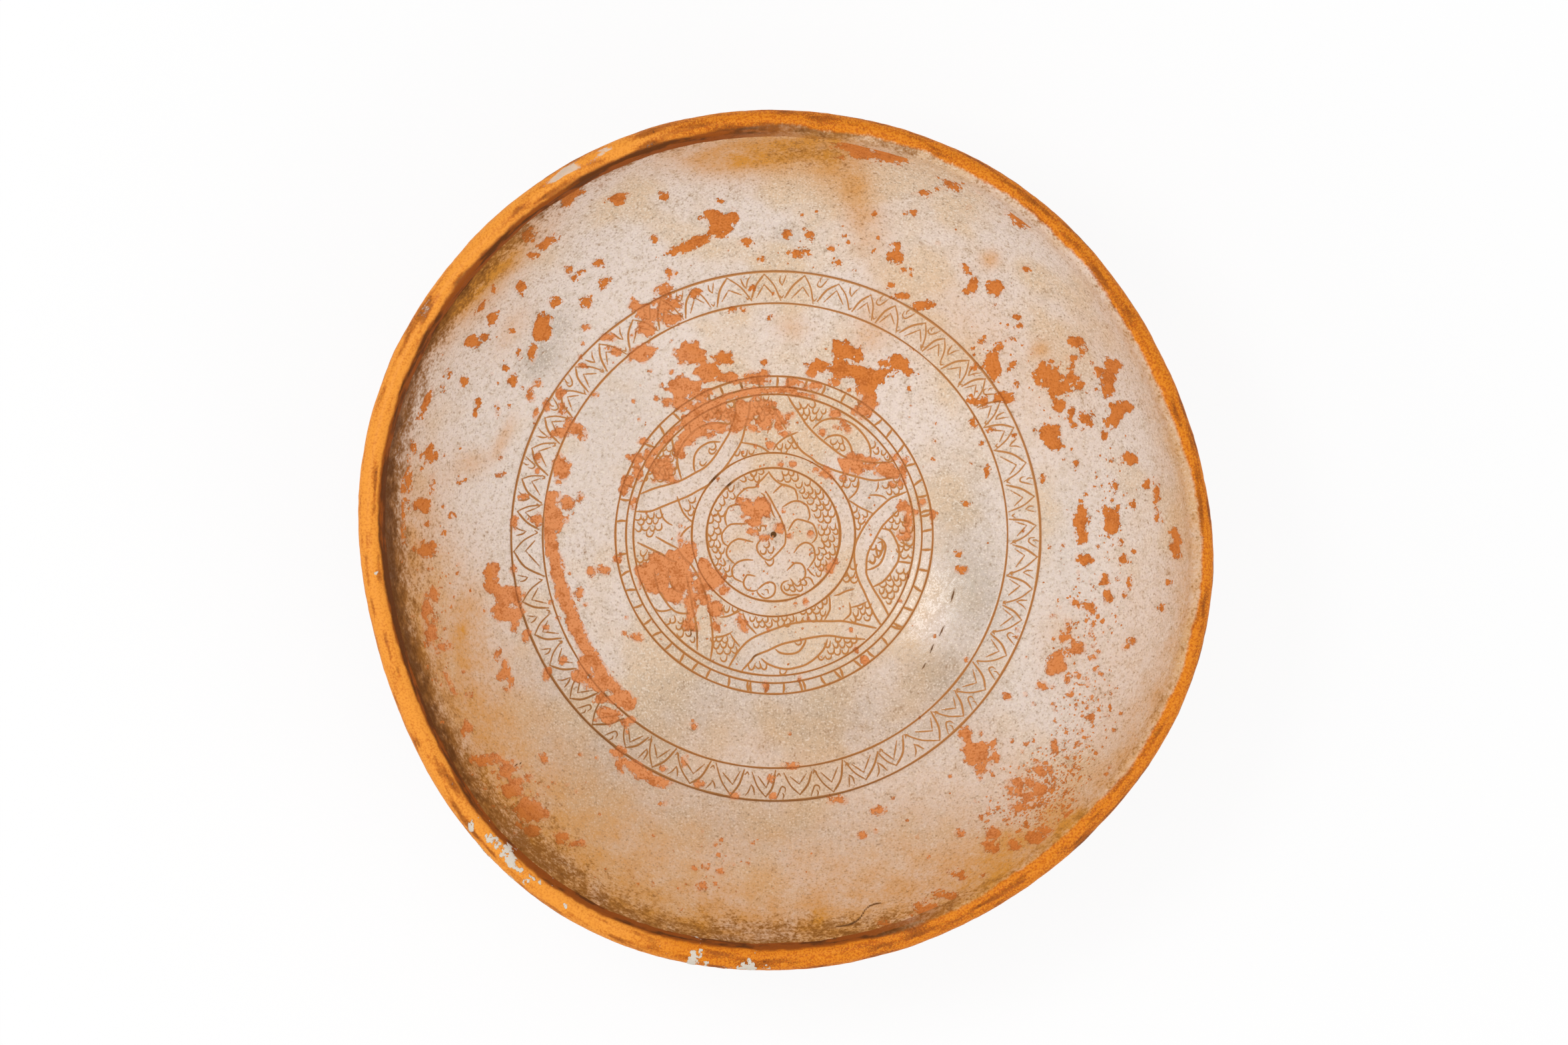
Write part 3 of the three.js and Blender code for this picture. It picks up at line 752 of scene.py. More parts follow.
BAND_FLAKES = [
    (-37, 66, 4, 3), (-33, 68, 4, 3), (-38.5, 62, 3, 2.5), (-31, 64, 4, 2), (-33.6, 72.7, 3, 1.3),
    (-39.5, 54.5, 4, 2, 30), (-29, 68, 1.5, 1), (-24, 72, 1.5, 1.2), (-42, 69, 1.5, 2), (-49.3, 59, 2, 1),
    (-48, 55, 1.8, 1.2), (-57, 50.5, 1.5, 0.8), (-9.4, 67.3, 1.2, 0.9), (-12.5, 67, 1, 0.7),
    (-6.7, 73.5, 0.8, 0.8), (-1.6, 65, 1, 0.6), (-63.4, 38, 1.2, 1.8), (-64, 30.5, 2.5, 1.5),
    (-70.4, 23.5, 0.9, 1.4), (-70.8, 19.5, 0.7, 0.7), (-74.7, 11.8, 1, 0.8), (-70.8, 4.7, 2, 1.5),
    (-77.4, 4, 0.7, 1.5), (-68, 39, 1.2, 1.5), (-64, 42, 1, 1.5), (-77.8, -9.5, 1, 1.5),
    (-68, -27, 1.2, 1), (-63.4, -36.7, 1, 0.8), (-68, -41, 1.2, 2), (-27, -67, 1.2, 1.5),
    (-23, -73.5, 1.3, 1), (-12.5, -76.6, 1.8, 1), (-1, -77, 1.2, 1), (-1.6, -72, 0.8, 1),
    (5, -68.5, 2, 0.8), (60, 40, 2.5, 1.5), (67.5, 41, 3, 1.8), (59, 33.6, 1, 1.2), (63.8, 31.6, 1, 0.8),
    (61.3, 27.5, 0.5, 0.5), (59, 50.3, 0.8, 0.8),
]
print(len(PLAIN_ZONE_FLAKES), "flakes on the plain zone and", len(BAND_FLAKES), "on the band")

# %% Flakes on the upper wall
UPPER_RIGHT_FLAKES = [
    (22, 114.3, 6, 2.6, -8), (31, 112.6, 9, 2.2, -16), (52, 105.8, 8, 1.2, -28),
    (68.5, 95, 4.5, 1.8, -47), (49, 103.5, 2.6, 1.2, -30), (42, 101, 2.1, 0.7), (28, 95.4, 0.8, 0.6),
    (37, 95.6, 0.6, 0.5), (39.5, 95, 0.8, 1), (34.6, 86, 1.5, 1), (35, 83, 2, 1.8), (2.7, 89.4, 1.2, 1),
    (9.7, 89, 1.2, 1), (16, 85.3, 1, 0.8), (6.6, 83.7, 3, 1), (17.7, 81, 1.3, 0.8), (23, 78.5, 0.6, 0.5),
    (37.5, 78.7, 0.8, 0.5), (39.5, 78, 0.5, 1.2), (55.5, 79, 1.6, 1, -40), (71.8, 78.8, 1.2, 0.9),
    (64, 73.6, 2.4, 1.8), (57.7, 74, 1.2, 2), (55.9, 72.4, 0.8, 0.8), (37.2, 71.3, 2.2, 1),
    (33.7, 74.5, 0.8, 0.7), (43.4, 68.8, 3.2, 1.3, 15), (70.6, 65, 0.9, 0.7), (71.6, 62.6, 0.9, 0.9),
    (69, 58.3, 1.1, 0.7), (61.3, 57.3, 1, 0.6), (65.5, 56, 1, 1.6), (63.5, 52, 2, 2.5),
    (64.5, 48.7, 1.5, 2), (69.7, 50.8, 0.9, 0.6), (70.6, 45, 0.6, 1), (87.5, 57.8, 2.2, 1.8),
    (89.3, 55.3, 0.9, 1.4), (86.5, 53, 1.4, 0.8), (80, 47.5, 3.5, 3.5), (83, 44, 3, 2.5),
    (86.5, 47, 3, 2), (86, 50, 1.3, 1.3), (79, 50, 2, 1.2), (89, 45, 1.5, 1), (93, 43.5, 0.5, 0.4),
    (97, 51, 2.2, 2.2), (96, 47, 1.8, 3), (96.5, 43, 1.5, 2), (94, 49, 1.5, 1.2), (99.5, 38, 3, 2.5),
    (98, 35, 2, 2), (83, 39, 2, 1.8), (86.5, 36.5, 0.9, 1.7), (90.3, 35.5, 2, 1.5), (92, 33.7, 0.7, 1.2),
    (87.5, 33, 0.9, 0.8), (81, 31, 3, 2.5), (82, 27.5, 2, 2), (95.8, 30, 1, 1.5),
    (103, 23, 2.2, 1.8, -45), (88.3, 21, 0.6, 1), (79, 17, 0.6, 1.3), (107.8, 16, 0.7, 1.3),
    (110.3, 14, 0.9, 3), (99, 15, 0.5, 1.5), (98.5, 11, 0.5, 0.5), (104, 9.8, 0.7, 1),
    (90, 4.5, 1.8, 4.5), (98.3, 4.5, 2.2, 3.5), (110.2, 6.3, 0.6, 1.5), (115, 1.5, 1, 2),
]
UPPER_LEFT_FLAKES = [
    (-47.7, 99.7, 2.8, 1.8), (-34, 100.5, 1, 1.3), (-61.4, 100, 3, 1.5, 40), (-17, 99, 1.4, 0.6),
    (-17, 93, 5, 3.5), (-20, 94.5, 2, 2.5), (-13.5, 94.5, 2, 2.5), (-24, 87, 4, 1.3, 20),
    (-30, 84.5, 3.5, 1, 15), (-9.4, 87, 1.7, 1.4), (-4.3, 82, 1, 0.7), (-36.2, 88, 1.2, 0.9),
    (-31.7, 78.2, 1.6, 1.2), (-73.5, 88.8, 2.2, 1.8), (-68, 87.2, 3, 1.2, 30), (-72.4, 83, 1.8, 1),
    (-61.8, 78.6, 0.9, 1.2), (-52.8, 80.7, 1.4, 1), (-58.7, 77.4, 2, 0.7, 35), (-50.9, 75, 1.4, 2, -30),
    (-75.9, 74, 1.7, 2), (-84, 73.5, 0.6, 1), (-87.6, 68, 2.2, 0.7, 50), (-83.7, 64.5, 1.5, 2),
    (-66, 69.2, 2, 1.8), (-56.3, 69.6, 1.6, 2, -30), (-69.5, 61, 3.2, 4), (-72, 55, 1.3, 2.5),
    (-90, 57.5, 2, 2), (-86.4, 58.7, 1.2, 1.2), (-76.3, 54, 0.7, 1.2), (-55.7, 62, 1.2, 0.7),
    (-80.2, 50.2, 0.8, 0.6), (-97, 48.5, 0.9, 1.4), (-92.4, 46.3, 1.3, 1.4), (-78, 45.8, 1.3, 2),
    (-70.4, 45.4, 1.3, 1), (-72.7, 41.5, 1.2, 1.7), (-103.2, 40.7, 3.5, 0.9, 65), (-98.8, 44.4, 0.6, 1),
    (-88.2, 40.3, 1, 1.3), (-82.5, 37.6, 0.7, 1.5), (-89.2, 36.8, 0.6, 1.3), (-71.2, 36, 0.8, 2),
    (-102.8, 25, 2.2, 2.8), (-107.5, 27, 0.6, 1.3), (-109, 16.5, 1, 5), (-104.8, 10.2, 2.3, 2),
    (-101.7, 15.7, 0.6, 2), (-94.2, 16.4, 0.6, 0.5), (-96, 6.3, 0.9, 0.8), (-103.6, 4.7, 1, 0.7),
    (-81.7, 23.5, 0.7, 0.5), (-81.7, 18.4, 1, 0.6), (-110.5, 8, 0.5, 8),
]
print(len(UPPER_RIGHT_FLAKES), "flakes at the upper right,", len(UPPER_LEFT_FLAKES), "upper left")

# %% Flakes on the lower wall, and longer strips
LOWER_LEFT_FLAKES = [
    (-84, -10, 2, 2.5), (-84, -14.5, 2, 2.5), (-80, -17.5, 4, 3), (-80, -22, 4.5, 3),
    (-77.5, -26.5, 1.5, 2), (-74, -29.5, 1.3, 2), (-82.5, -34.4, 1, 1.6), (-79.8, -39, 3, 0.8, -70),
    (-81, -40.5, 1.2, 1.2), (-80.2, -44.6, 1.1, 0.8), (-98.5, -31.5, 2, 1.2), (-101.3, -16.4, 1.2, 2),
    (-103.2, -20.4, 1.5, 2.5), (-102.5, -27, 1.8, 3), (-104, -3, 3, 2), (-97, -42, 3, 0.8, -65),
    (-91.5, -45.8, 0.9, 0.7), (-91.9, -55, 1.5, 1.8), (-86, -64.5, 4, 1.5), (-80, -68, 2.5, 2.5),
    (-78, -72.5, 3, 3), (-74, -80, 3.5, 4), (-71, -81, 2.5, 2), (-73, -85, 2, 2),
    (-64, -87, 2.5, 1.8, -30), (-60, -89.5, 2, 1.2), (-69.2, -65, 1, 1.6), (-47, -64, 2, 1.5),
    (-46, -67.5, 1.5, 2), (-42, -68.5, 4, 2, -30), (-37, -71, 4, 1.8, -25), (-33, -73, 2, 1.5),
    (-33.6, -69, 0.8, 0.8), (-33.6, -78.8, 1, 0.7), (-21.5, -97, 0.9, 0.7), (-17.3, -98.2, 0.9, 0.6),
    (-22.9, -102, 1.5, 1.2), (-25, -97.3, 0.7, 0.5),
]
LOWER_RIGHT_FLAKES = [
    (90.3, -1.2, 1.2, 1.5), (91, -6.4, 2, 1.5), (101, -1.7, 0.7, 1.2), (101.6, -6, 1.1, 1.2),
    (115.5, -2.5, 1.2, 2.5), (104.5, -4, 0.6, 0.4), (96.5, -13, 1.5, 1.6), (97, -17, 1.3, 2.2),
    (100, -12.3, 0.6, 0.6), (103.3, -13.5, 0.5, 1.5), (101.9, -16.7, 0.5, 0.8), (113.8, -12.6, 0.6, 0.6),
    (88, -19.4, 1, 0.8), (91.8, -20.5, 2.2, 1.2), (93, -22, 0.9, 1.2), (111.8, -20, 0.6, 1),
    (86, -27, 1, 2), (84.8, -29.7, 0.8, 1.5), (88.3, -32.5, 2, 2), (86.5, -33.5, 1.2, 1),
    (83, -37, 2, 2.3), (81.8, -39.3, 1.8, 1.3), (93, -25.7, 0.7, 0.6), (103.5, -30, 1, 1),
    (102, -32, 0.8, 0.8), (93, -35.5, 1, 0.8), (88.3, -40.7, 0.8, 0.7), (85.6, -42.3, 0.6, 1),
    (93.5, -39, 0.7, 0.6), (95, -40.3, 0.6, 0.4), (78.2, -44.2, 1.2, 1), (68.4, -47.3, 1.1, 0.9),
    (81.3, -49.5, 0.6, 0.5), (100, -51.2, 0.6, 0.5), (91.5, -53.2, 1, 0.9), (55.9, -59, 1.8, 2.2),
    (60.6, -58.2, 0.5, 0.6), (60.2, -64, 4.5, 3.5), (59.8, -68, 1.5, 1.8), (81, -61.7, 1.2, 2.2),
    (76.6, -68.4, 1.6, 1.4), (70, -72, 2, 1), (74, -72, 1.5, 1.5), (72, -75.5, 2.5, 1), (76, -74, 2, 1.5),
    (70, -79, 1.8, 1.3), (62.5, -87, 1.8, 1.8), (61.8, -90, 2.2, 1.8), (68, -89.5, 2, 1.5),
    (74, -87, 3, 1.8), (77, -85, 2, 1), (53.2, -87, 1, 0.8), (52.5, -98.3, 1, 1.2), (25, -88, 1.1, 0.9),
    (30, -81, 1.7, 1), (18.5, -78, 2.5, 1.2), (34.4, -77.4, 0.5, 0.4), (42, -107, 4, 1.5, 25),
    (48, -104, 3, 1), (30, -112, 2, 1), (109.5, -49.7, 1.2, 2), (112.6, -43.4, 0.8, 2.5),
]
LOST_STRIPS = [  # runs along which the slip came off, with the half width
    ([(-66, 12), (-67, 0), (-65, -9), (-63.5, -15.5), (-61, -22.5), (-58.7, -29), (-55.5, -34.5),
      (-51.5, -41), (-47, -46), (-43, -50.5)], 2.0),
    ([(11, 41.6), (0, 43), (-11, 41.6), (-21.5, 37.3), (-30.4, 30.4), (-37.2, 21.5)], 0.85),
]
print(len(LOWER_LEFT_FLAKES), "flakes at the lower left,", len(LOWER_RIGHT_FLAKES), "lower right")

# %% [markdown]
# Hundreds of specks too small to list belong to the same wear. They crowd in a few places, mostly on
# the right wall, so a seeded draw scatters small ellipses round listed middles.

# %% Specks
SPECK_CROWDS = [  # middle, spread in x and y, count
    (76, -75, 7, 6, 60), (86, -58, 8, 10, 40), (84, 42, 8, 9, 16), (88, -30, 7, 9, 30),
    (66, 55, 7, 9, 14), (-80, 55, 12, 16, 18), (-100, 18, 5, 14, 8), (-100, -22, 4, 14, 16),
    (20, 86, 24, 8, 16), (96, 8, 6, 12, 18), (-76, -76, 7, 7, 24), (-30, 45, 12, 8, 20),
    (25, 49, 8, 5, 14), (-62, -20, 4, 16, 8), (-48, -70, 14, 7, 12), (56, -80, 16, 12, 26),
    (-20, -98, 14, 6, 14), (0, 0, 60, 60, 50),
]
SPECK_SIZES = (0.2, 0.55)


def scattered_specks(seed):
    """Small ellipses with a normal spread round each crowd's middle."""
    draw = np.random.default_rng(seed)
    specks = []
    for x, y, across, along, count in SPECK_CROWDS:
        middles = draw.normal((x, y), (across, along), (count, 2))
        sizes = draw.uniform(*SPECK_SIZES, (count, 2))
        specks += [(*middle, *size) for middle, size in zip(middles, sizes)]
    return specks


wall_flakes = UPPER_RIGHT_FLAKES + UPPER_LEFT_FLAKES + LOWER_LEFT_FLAKES + LOWER_RIGHT_FLAKES
flakes = MEDALLION_FLAKES + PLAIN_ZONE_FLAKES + BAND_FLAKES + wall_flakes + scattered_specks(41)
print(len(flakes), "flakes and specks")

# %% The distance to the nearest flake's edge
FRAY = 0.5
FRAY_SIZE = 2.6
STRIP_FRAY = 1.2
strips = [(smooth_line(line), half_width) for line, half_width in LOST_STRIPS]


def spot_units(right, up, first, second, askew):
    """Offsets from a spot's middle, turned to its two half lengths and measured in them."""
    turn = np.radians(askew)
    along = (right * np.cos(turn) + up * np.sin(turn)) / first
    across = (up * np.cos(turn) - right * np.sin(turn)) / second
    return along, across


def flake_edge(points):
    """Signed distance in mm, in plan, to the nearest flake's edge, negative where the slip is gone.

    For an ellipse it is (distance in units of the ellipse, less 1) times its smaller half length. Noise is
    added before that product, so small flakes fray as little as they should.
    """
    x, y = points[..., 0], points[..., 1]
    fray = FRAY * rough_noise(points, FRAY_SIZE, 42, 3)
    edge = np.full(x.shape, FAR)
    for middle_x, middle_y, first, second, *askew in flakes:
        reach = 2 * max(first, second)
        near = (np.abs(x - middle_x) < reach) & (np.abs(y - middle_y) < reach)
        if not near.any():
            continue
        right, up = x[near] - middle_x, y[near] - middle_y
        units = spot_units(right, up, first, second, askew[0] if askew else 0)
        here = (np.hypot(*units) - 1 + fray[near]) * min(first, second)
        edge[near] = np.minimum(edge[near], here)
    return np.minimum(edge, stroke_edge(points, strips) + STRIP_FRAY * fray)


print(f"a flake at the middle goes {-flake_edge(np.array([(-7.0, 7.5, 0.0)]))[0]:.1f} mm past its edge")

# %% [markdown]
# ## Stains
#
# Rust and smoke have soaked into the glaze: ochre below the rim at the top and along the bottom, brown
# at the left, grey smudges on the floor. Elsewhere the slip is paler and a little lilac, partly its own
# clean tint and partly painted light on the wall, or is peppered with lost crumbs, and dirt fills some
# of the lines. None of these has an edge, so each one is a soft bell-shaped spot, and the sum is stored
# for the material.

# %% Ochre, brown and grey stains
OCHRE_SPOTS = [  # middle, half widths, angle, strength
    (4, 114, 14, 5, 0, 0.85), (18, 106, 7, 5, -40, 0.45), (25, 94, 4, 10, 20, 0.5),
    (-18, 111, 12, 4, 0, 0.6), (29, 62, 4, 7, -20, 0.45), (5, 62, 4, 3, 0, 0.3),
    (-97, 70, 5, 18, -38, 0.75), (-81, 29, 1.5, 5, -25, 0.45), (-91, 22, 4, 3, 30, 0.4),
    (-92, -25, 4, 9, 0, 0.45), (62, -94, 9, 4, 35, 0.3), (77, 55.5, 2, 2, 0, 0.5), (62, 82, 2, 2, 0, 0.6),
    (100, -35, 7, 26, -15, 0.2), (46, 62, 12, 10, 0, 0.15), (-5, -64, 50, 12, 0, 0.16),
    (90, 55, 10, 12, 0, 0.15), (0, 0, 30, 30, 0, 0.16), (-10, -82, 66, 14, 0, 0.16),
    (-106, -2, 6, 24, 0, 0.4), (-82, 80, 4, 14, -44, 0.65), (40, -42, 12, 12, 0, 0.12),
    (0, -113, 44, 4, 0, 0.12), (80, -80, 4, 22, 45, 0.2), (-78, 62, 3, 6, -30, 0.3),
    (84, -32, 5, 8, 0, 0.25), (-86, -48, 7, 12, 30, 0.2), (70, 48, 8, 26, 35, 0.17),
    (-74, -36, 9, 20, 28, 0.15),
]
BROWN_SPOTS = [
    (-114, -10, 2.5, 34, 0, 0.45), (-108, -42, 3, 22, 22, 0.45), (-95, -66, 3.5, 22, 42, 0.5),
    (-62, -98, 24, 4, -32, 0.5), (-110, 34, 2.5, 22, -18, 0.4), (-90, 76, 2.5, 20, -48, 0.4),
    (-10, -114, 34, 3, 0, 0.5), (30, -111, 20, 3, 14, 0.3), (5, 113, 11, 3.5, 0, 0.45),
    (20, 103, 4, 9, 20, 0.25), (-96, 67, 4, 15, -36, 0.3), (-62, 101, 4, 3, 40, 0.4),
    (-73, 89, 3, 2.5, 0, 0.35), (-70, -83, 10, 8, -40, 0.3), (-104, -8, 4, 18, 0, 0.3),
]
GREY_SPOTS = [
    (-64, 63, 3, 3, 0, 0.35), (-68, 54, 4, 4, 0, 0.4), (-72, 50, 3, 3, 0, 0.3), (18, -54, 20, 9, 0, 0.4),
    (48, -40, 8, 6, -30, 0.42), (28, 15, 5, 4, 0, 0.2), (-30, -52, 20, 9, 30, 0.3),
    (2.7, 89.4, 3, 2, 0, 0.3), (0.1, 0, 1.2, 1.1, 0, 0.6), (55, -20, 5, 12, 10, 0.35),
    (57, 6, 8, 14, 0, 0.2), (86, 0, 6, 24, 0, 0.12), (-45, 40, 10, 8, 0, 0.12), (-50, 25, 8, 14, 0, 0.1),
    (-70, -45, 10, 12, 40, 0.25), (-35, -72, 22, 8, -20, 0.2), (52, -52, 8, 10, -40, 0.18),
    (63, -16, 5, 10, 12, 0.32), (0, -86, 46, 8, 0, 0.3), (-58, -72, 14, 10, -40, 0.22),
]
print(len(OCHRE_SPOTS + BROWN_SPOTS + GREY_SPOTS), "stains")

# %% Clean slip, lost crumbs and dirt
LILAC_AND_LIT_SPOTS = [  # where the slip is paler and cooler: its clean tint, with painted light
    (-72, 62, 26, 30, -40, 1), (-96, 5, 12, 40, 0, 0.8), (97, -5, 14, 50, 0, 0.9),
    (70, -62, 20, 30, -40, 0.7), (-57, 0, 12, 24, 0, 0.8),
]
SPECK_FIELDS = [  # where slip is peppered with lost crumbs
    (76, -76, 8, 7, 35, 0.62), (88, -56, 8, 12, -20, 0.42), (84, 40, 9, 12, 0, 0.25),
    (90, -25, 8, 18, 0, 0.36), (-82, 55, 12, 20, -30, 0.15), (-102, 10, 5, 24, 0, 0.12),
    (-100, -25, 5, 16, 0, 0.35), (-76, -74, 9, 9, -40, 0.4), (10, 88, 40, 9, 0, 0.2),
    (0, 0, 44, 44, 0, 0.3), (62, -85, 16, 9, 30, 0.3), (66, 52, 8, 12, 0, 0.25),
    (-20, -98, 30, 8, 0, 0.25), (100, 15, 6, 22, 0, 0.3),
]
DIRT_SPOTS = [  # dark dirt that sits in the lines
    (-17.5, 16.4, 1.4, 0.9, 40, 1), (-13.5, 15.2, 0.8, 0.8, 0, 1), (-6.5, -35.7, 1.3, 1, 0, 1),
    (-24, -29.5, 1, 1, 0, 0.9), (0, -80, 45, 10, 0, 0.45), (-55, -54, 16, 16, 0, 0.5),
    (-75, -15, 6, 25, 0, 0.4), (52, -18, 3, 4, 0, 1), (49.8, -28.5, 2, 3, 0, 1),
    (46.8, -34, 2, 2.5, 0, 1), (44.4, -39, 2, 2.5, 0, 1), (23, -110, 10, 5, 20, 1),
    (-79, -67, 6, 2.5, 0, 1), (23, 88.5, 4, 1.5, 0, 1), (0.1, 0, 1.3, 1.3, 0, 1.2),
    (-10, 44, 4, 0.8, 10, 0.6),
]


def soft_spots(points, spots):
    """Sum of bell curves in plan: strength times e to the minus half the squared distance in widths."""
    total = np.zeros(points.shape[:-1])
    for middle_x, middle_y, first, second, askew, strength in spots:
        right, up = points[..., 0] - middle_x, points[..., 1] - middle_y
        along, across = spot_units(right, up, first, second, askew)
        total += strength * np.exp(-(along**2 + across**2) / 2)
    return total


print(len(LILAC_AND_LIT_SPOTS + SPECK_FIELDS + DIRT_SPOTS), "more soft spots")

# %% [markdown]
# ## Writing materials as formulas
#
# A material in Blender is a graph of nodes, and a page of node calls is hard to read. One small class
# wraps an output socket, so that sums and products of values are written as plain Python and each adds
# a Math node. Every other node comes from one method.

# %% A socket that takes part in formulas
class Wire:
    """An output socket of a material. Arithmetic with other wires or numbers adds Math nodes."""

    def __init__(self, tree, socket):
        self.tree = tree
        self.socket = socket

    @classmethod
    def node(cls, tree, kind, settings=None, sockets=None, output=0):
        """Add a node: its settings first, then values or links for its sockets. Gives one output."""
        made = tree.nodes.new(kind)
        for name, value in (settings or {}).items():
            setattr(made, name, value)
        for key, value in (sockets or {}).items():
            if isinstance(value, Wire):
                tree.links.new(value.socket, made.inputs[key])
            else:
                made.inputs[key].default_value = value
        return cls(tree, made.outputs[output])

    def maths(self, operation, first, second):
        """A Math node for two values, in that order."""
        return Wire.node(self.tree, "ShaderNodeMath", {"operation": operation}, {0: first, 1: second})

    def __add__(self, other):
        return self.maths("ADD", self, other)

    __radd__ = __add__

    def __sub__(self, other):
        return self.maths("SUBTRACT", self, other)

    def __rsub__(self, other):
        return self.maths("SUBTRACT", other, self)

    def __mul__(self, other):
        return self.maths("MULTIPLY", self, other)

    __rmul__ = __mul__

# %% Steps, blends and colours
def sharp(value, low, high):
    """0 below low, 1 above high and an S curve between; with low above high it falls instead."""
    sockets = {"Value": value, "From Min": low, "From Max": high}
    return Wire.node(value.tree, "ShaderNodeMapRange", {"interpolation_type": "SMOOTHSTEP"}, sockets)


def blend(share, first, second):
    """The first colour where share is 0, the second where it is 1."""
    sockets = {0: share, 6: first, 7: second}
    return Wire.node(share.tree, "ShaderNodeMix", {"data_type": "RGBA"}, sockets, 2)


def layered(colour, *coats):
    """A colour under coats of other colours, each given as how much it covers and what it is."""
    for share, coat in coats:
        colour = blend(share, colour, coat)
    return colour


def frayed(value, *grains):
    """A value with uneven edges: each grain, a share and a noise, is added about its middle of 0.5."""
    for share, grain in grains:
        value = value + share * (grain - 0.5)
    return value


def paint(red, green, blue):
    """A colour as a picture editor gives it, from 0 to 255, in the linear values that shaders use."""
    share = np.array([red, green, blue]) / 255
    linear = np.where(share <= 0.04045, share / 12.92, ((share + 0.055) / 1.055) ** 2.4)
    return (*linear.tolist(), 1.0)


print(f"a middle grey of 128 is {paint(128, 128, 128)[0]:.3f} to a shader")

# %% [markdown]
# A finish always starts in the same way: a new material, the place of each point, the marks that its
# mesh carries and noise at some size in millimetres. A second small class keeps these together.

# %% A new finish
class Finish:
    """A new material with the nodes that every finish here needs: place, marks and grain."""

    def __init__(self, name, specular):
        self.material = bpy.data.materials.new(name)
        self.material.use_nodes = True
        self.tree = self.material.node_tree
        self.shader = self.tree.nodes["Principled BSDF"]
        self.shader.inputs["Specular IOR Level"].default_value = specular
        self.place = Wire.node(self.tree, "ShaderNodeTexCoord", output="Object")

    def mark(self, name):
        """A value stored on the mesh."""
        return Wire.node(self.tree, "ShaderNodeAttribute", {"attribute_name": name}, output="Fac")

    def grain(self, size, detail=2.0, stretch=(1, 1, 1)):
        """Noise about 0 to 1 whose blotches are that many millimetres wide."""
        scaled = Wire.node(self.tree, "ShaderNodeMapping", None, {"Vector": self.place, "Scale": stretch})
        sockets = {"Vector": scaled, "Scale": 1 / (size * MM), "Detail": detail}
        return Wire.node(self.tree, "ShaderNodeTexNoise", None, sockets, "Fac")

    def chips(self, size):
        """A random number about 0.5 for each cell, that many millimetres wide, of a crazed pattern."""
        sockets = {"Vector": self.place, "Scale": 1 / (size * MM)}
        return Wire.node(self.tree, "ShaderNodeTexVoronoi", None, sockets, "Color")

    def gloss(self, weight, roughness):
        """A clear coat of varying weight, as thin glaze is."""
        self.tree.links.new(weight.socket, self.shader.inputs["Coat Weight"])
        self.shader.inputs["Coat Roughness"].default_value = roughness

    def wear(self, colour, roughness, height, depth):
        """Link the colour, the roughness and a relief of that depth in millimetres to the shader."""
        sockets = {"Height": height, "Distance": depth * MM}
        relief = Wire.node(self.tree, "ShaderNodeBump", None, sockets, "Normal")
        for name, wire in [("Base Color", colour), ("Roughness", roughness), ("Normal", relief)]:
            self.tree.links.new(wire.socket, self.shader.inputs[name])
        print(f"{self.material.name}: {len(self.tree.nodes)} nodes")
        return self.material

# %% [markdown]
# ## White slip under clear glaze
#
# Clean slip is cream with a pinkish and a greyish side, clouded over centimetres and peppered with tiny
# pits. Where the potter scratched, raw clay shows tan or holds dark dirt. Where the slip came off,
# brighter clay shows, rough and without gloss. The attributes say where; the noise here only frays what
# is finer than the mesh.

# %% Colours of slip, stains and bare clay
CREAM = paint(224, 198, 169)
LILAC_CREAM = paint(229, 214, 204)
GREY_CREAM = paint(196, 176, 152)
PALE_FLECK = paint(240, 228, 214)
PIT = paint(134, 104, 74)
OCHRE = paint(214, 146, 56)
BROWN = paint(132, 78, 18)
# Dark brown of the painted shade under the lip, and the olive of the grime around it
SHADE_BROWN = paint(98, 54, 12)
OLIVE = paint(148, 95, 40)
SMUDGE = paint(150, 138, 118)
SCRATCHED_CLAY = paint(190, 132, 78)
MEDALLION_LINE = paint(191, 129, 71)
DIRT = paint(96, 62, 30)
BARE_CLAY = paint(212, 126, 57)
PALE_CLAY = paint(226, 148, 94)
DEEP_CLAY = paint(178, 96, 36)
print("clean slip, as a shader has it:", [round(value, 2) for value in CREAM[:3]])

# %% The glazed slip
def clouded_slip(finish, mottle, grit):
    """Slip with its clouds, smudges, pits, ochre and brown, and grime with painted shade under the lip,
    without any drawing.
    """
    cloud, stain, weave = finish.grain(24, 3), finish.grain(7, 5), finish.grain(1.1, 4)
    # Below the lip the grime mark is partly painted shade: olive grime first, then a painted shadow in dark
    # brown where the mark is strongest, at the left.
    grime_and_shade = finish.mark("grime_and_shade")
    soaked = finish.mark("ochre") * (1.2 * stain + 0.6 * weave + 0.4 * grit - 0.1)
    soot = frayed(finish.mark("brown"), (0.9, mottle), (1.2, weave), (0.6, grit))
    shaded_grime = frayed(grime_and_shade, (0.8, stain), (0.9, mottle), (0.9, weave), (0.4, grit))
    deep_shade = sharp(frayed(grime_and_shade, (1.2, mottle), (0.5, weave)), 0.55, 1.1)
    return layered(
        # Clouds of lilac and cream; the lilac mark also paints light, making the wall paler where it is
        # strong.
        blend(sharp(cloud - 0.16 * finish.mark("lilac_and_light"), 0.4, 0.62), LILAC_CREAM, CREAM),
        (sharp(mottle, 0.46, 0.72) * 0.5, GREY_CREAM),
        (sharp(weave, 0.45, 0.7) * 0.5, GREY_CREAM),
        (finish.mark("grey") * (0.4 + 0.7 * mottle + 0.5 * weave), SMUDGE),
        (sharp(grit, 0.48, 0.32) * 0.75, PALE_FLECK),
        (soaked, OCHRE),
        (sharp(grit + 0.3 * weave, 0.71, 0.9) * 0.62, PIT),
        (sharp(soot, 0.2, 0.9) * 0.8, BROWN),
        (sharp(shaded_grime, 0.15, 0.8) * 0.9, blend(deep_shade, OLIVE, SHADE_BROWN)),
    )


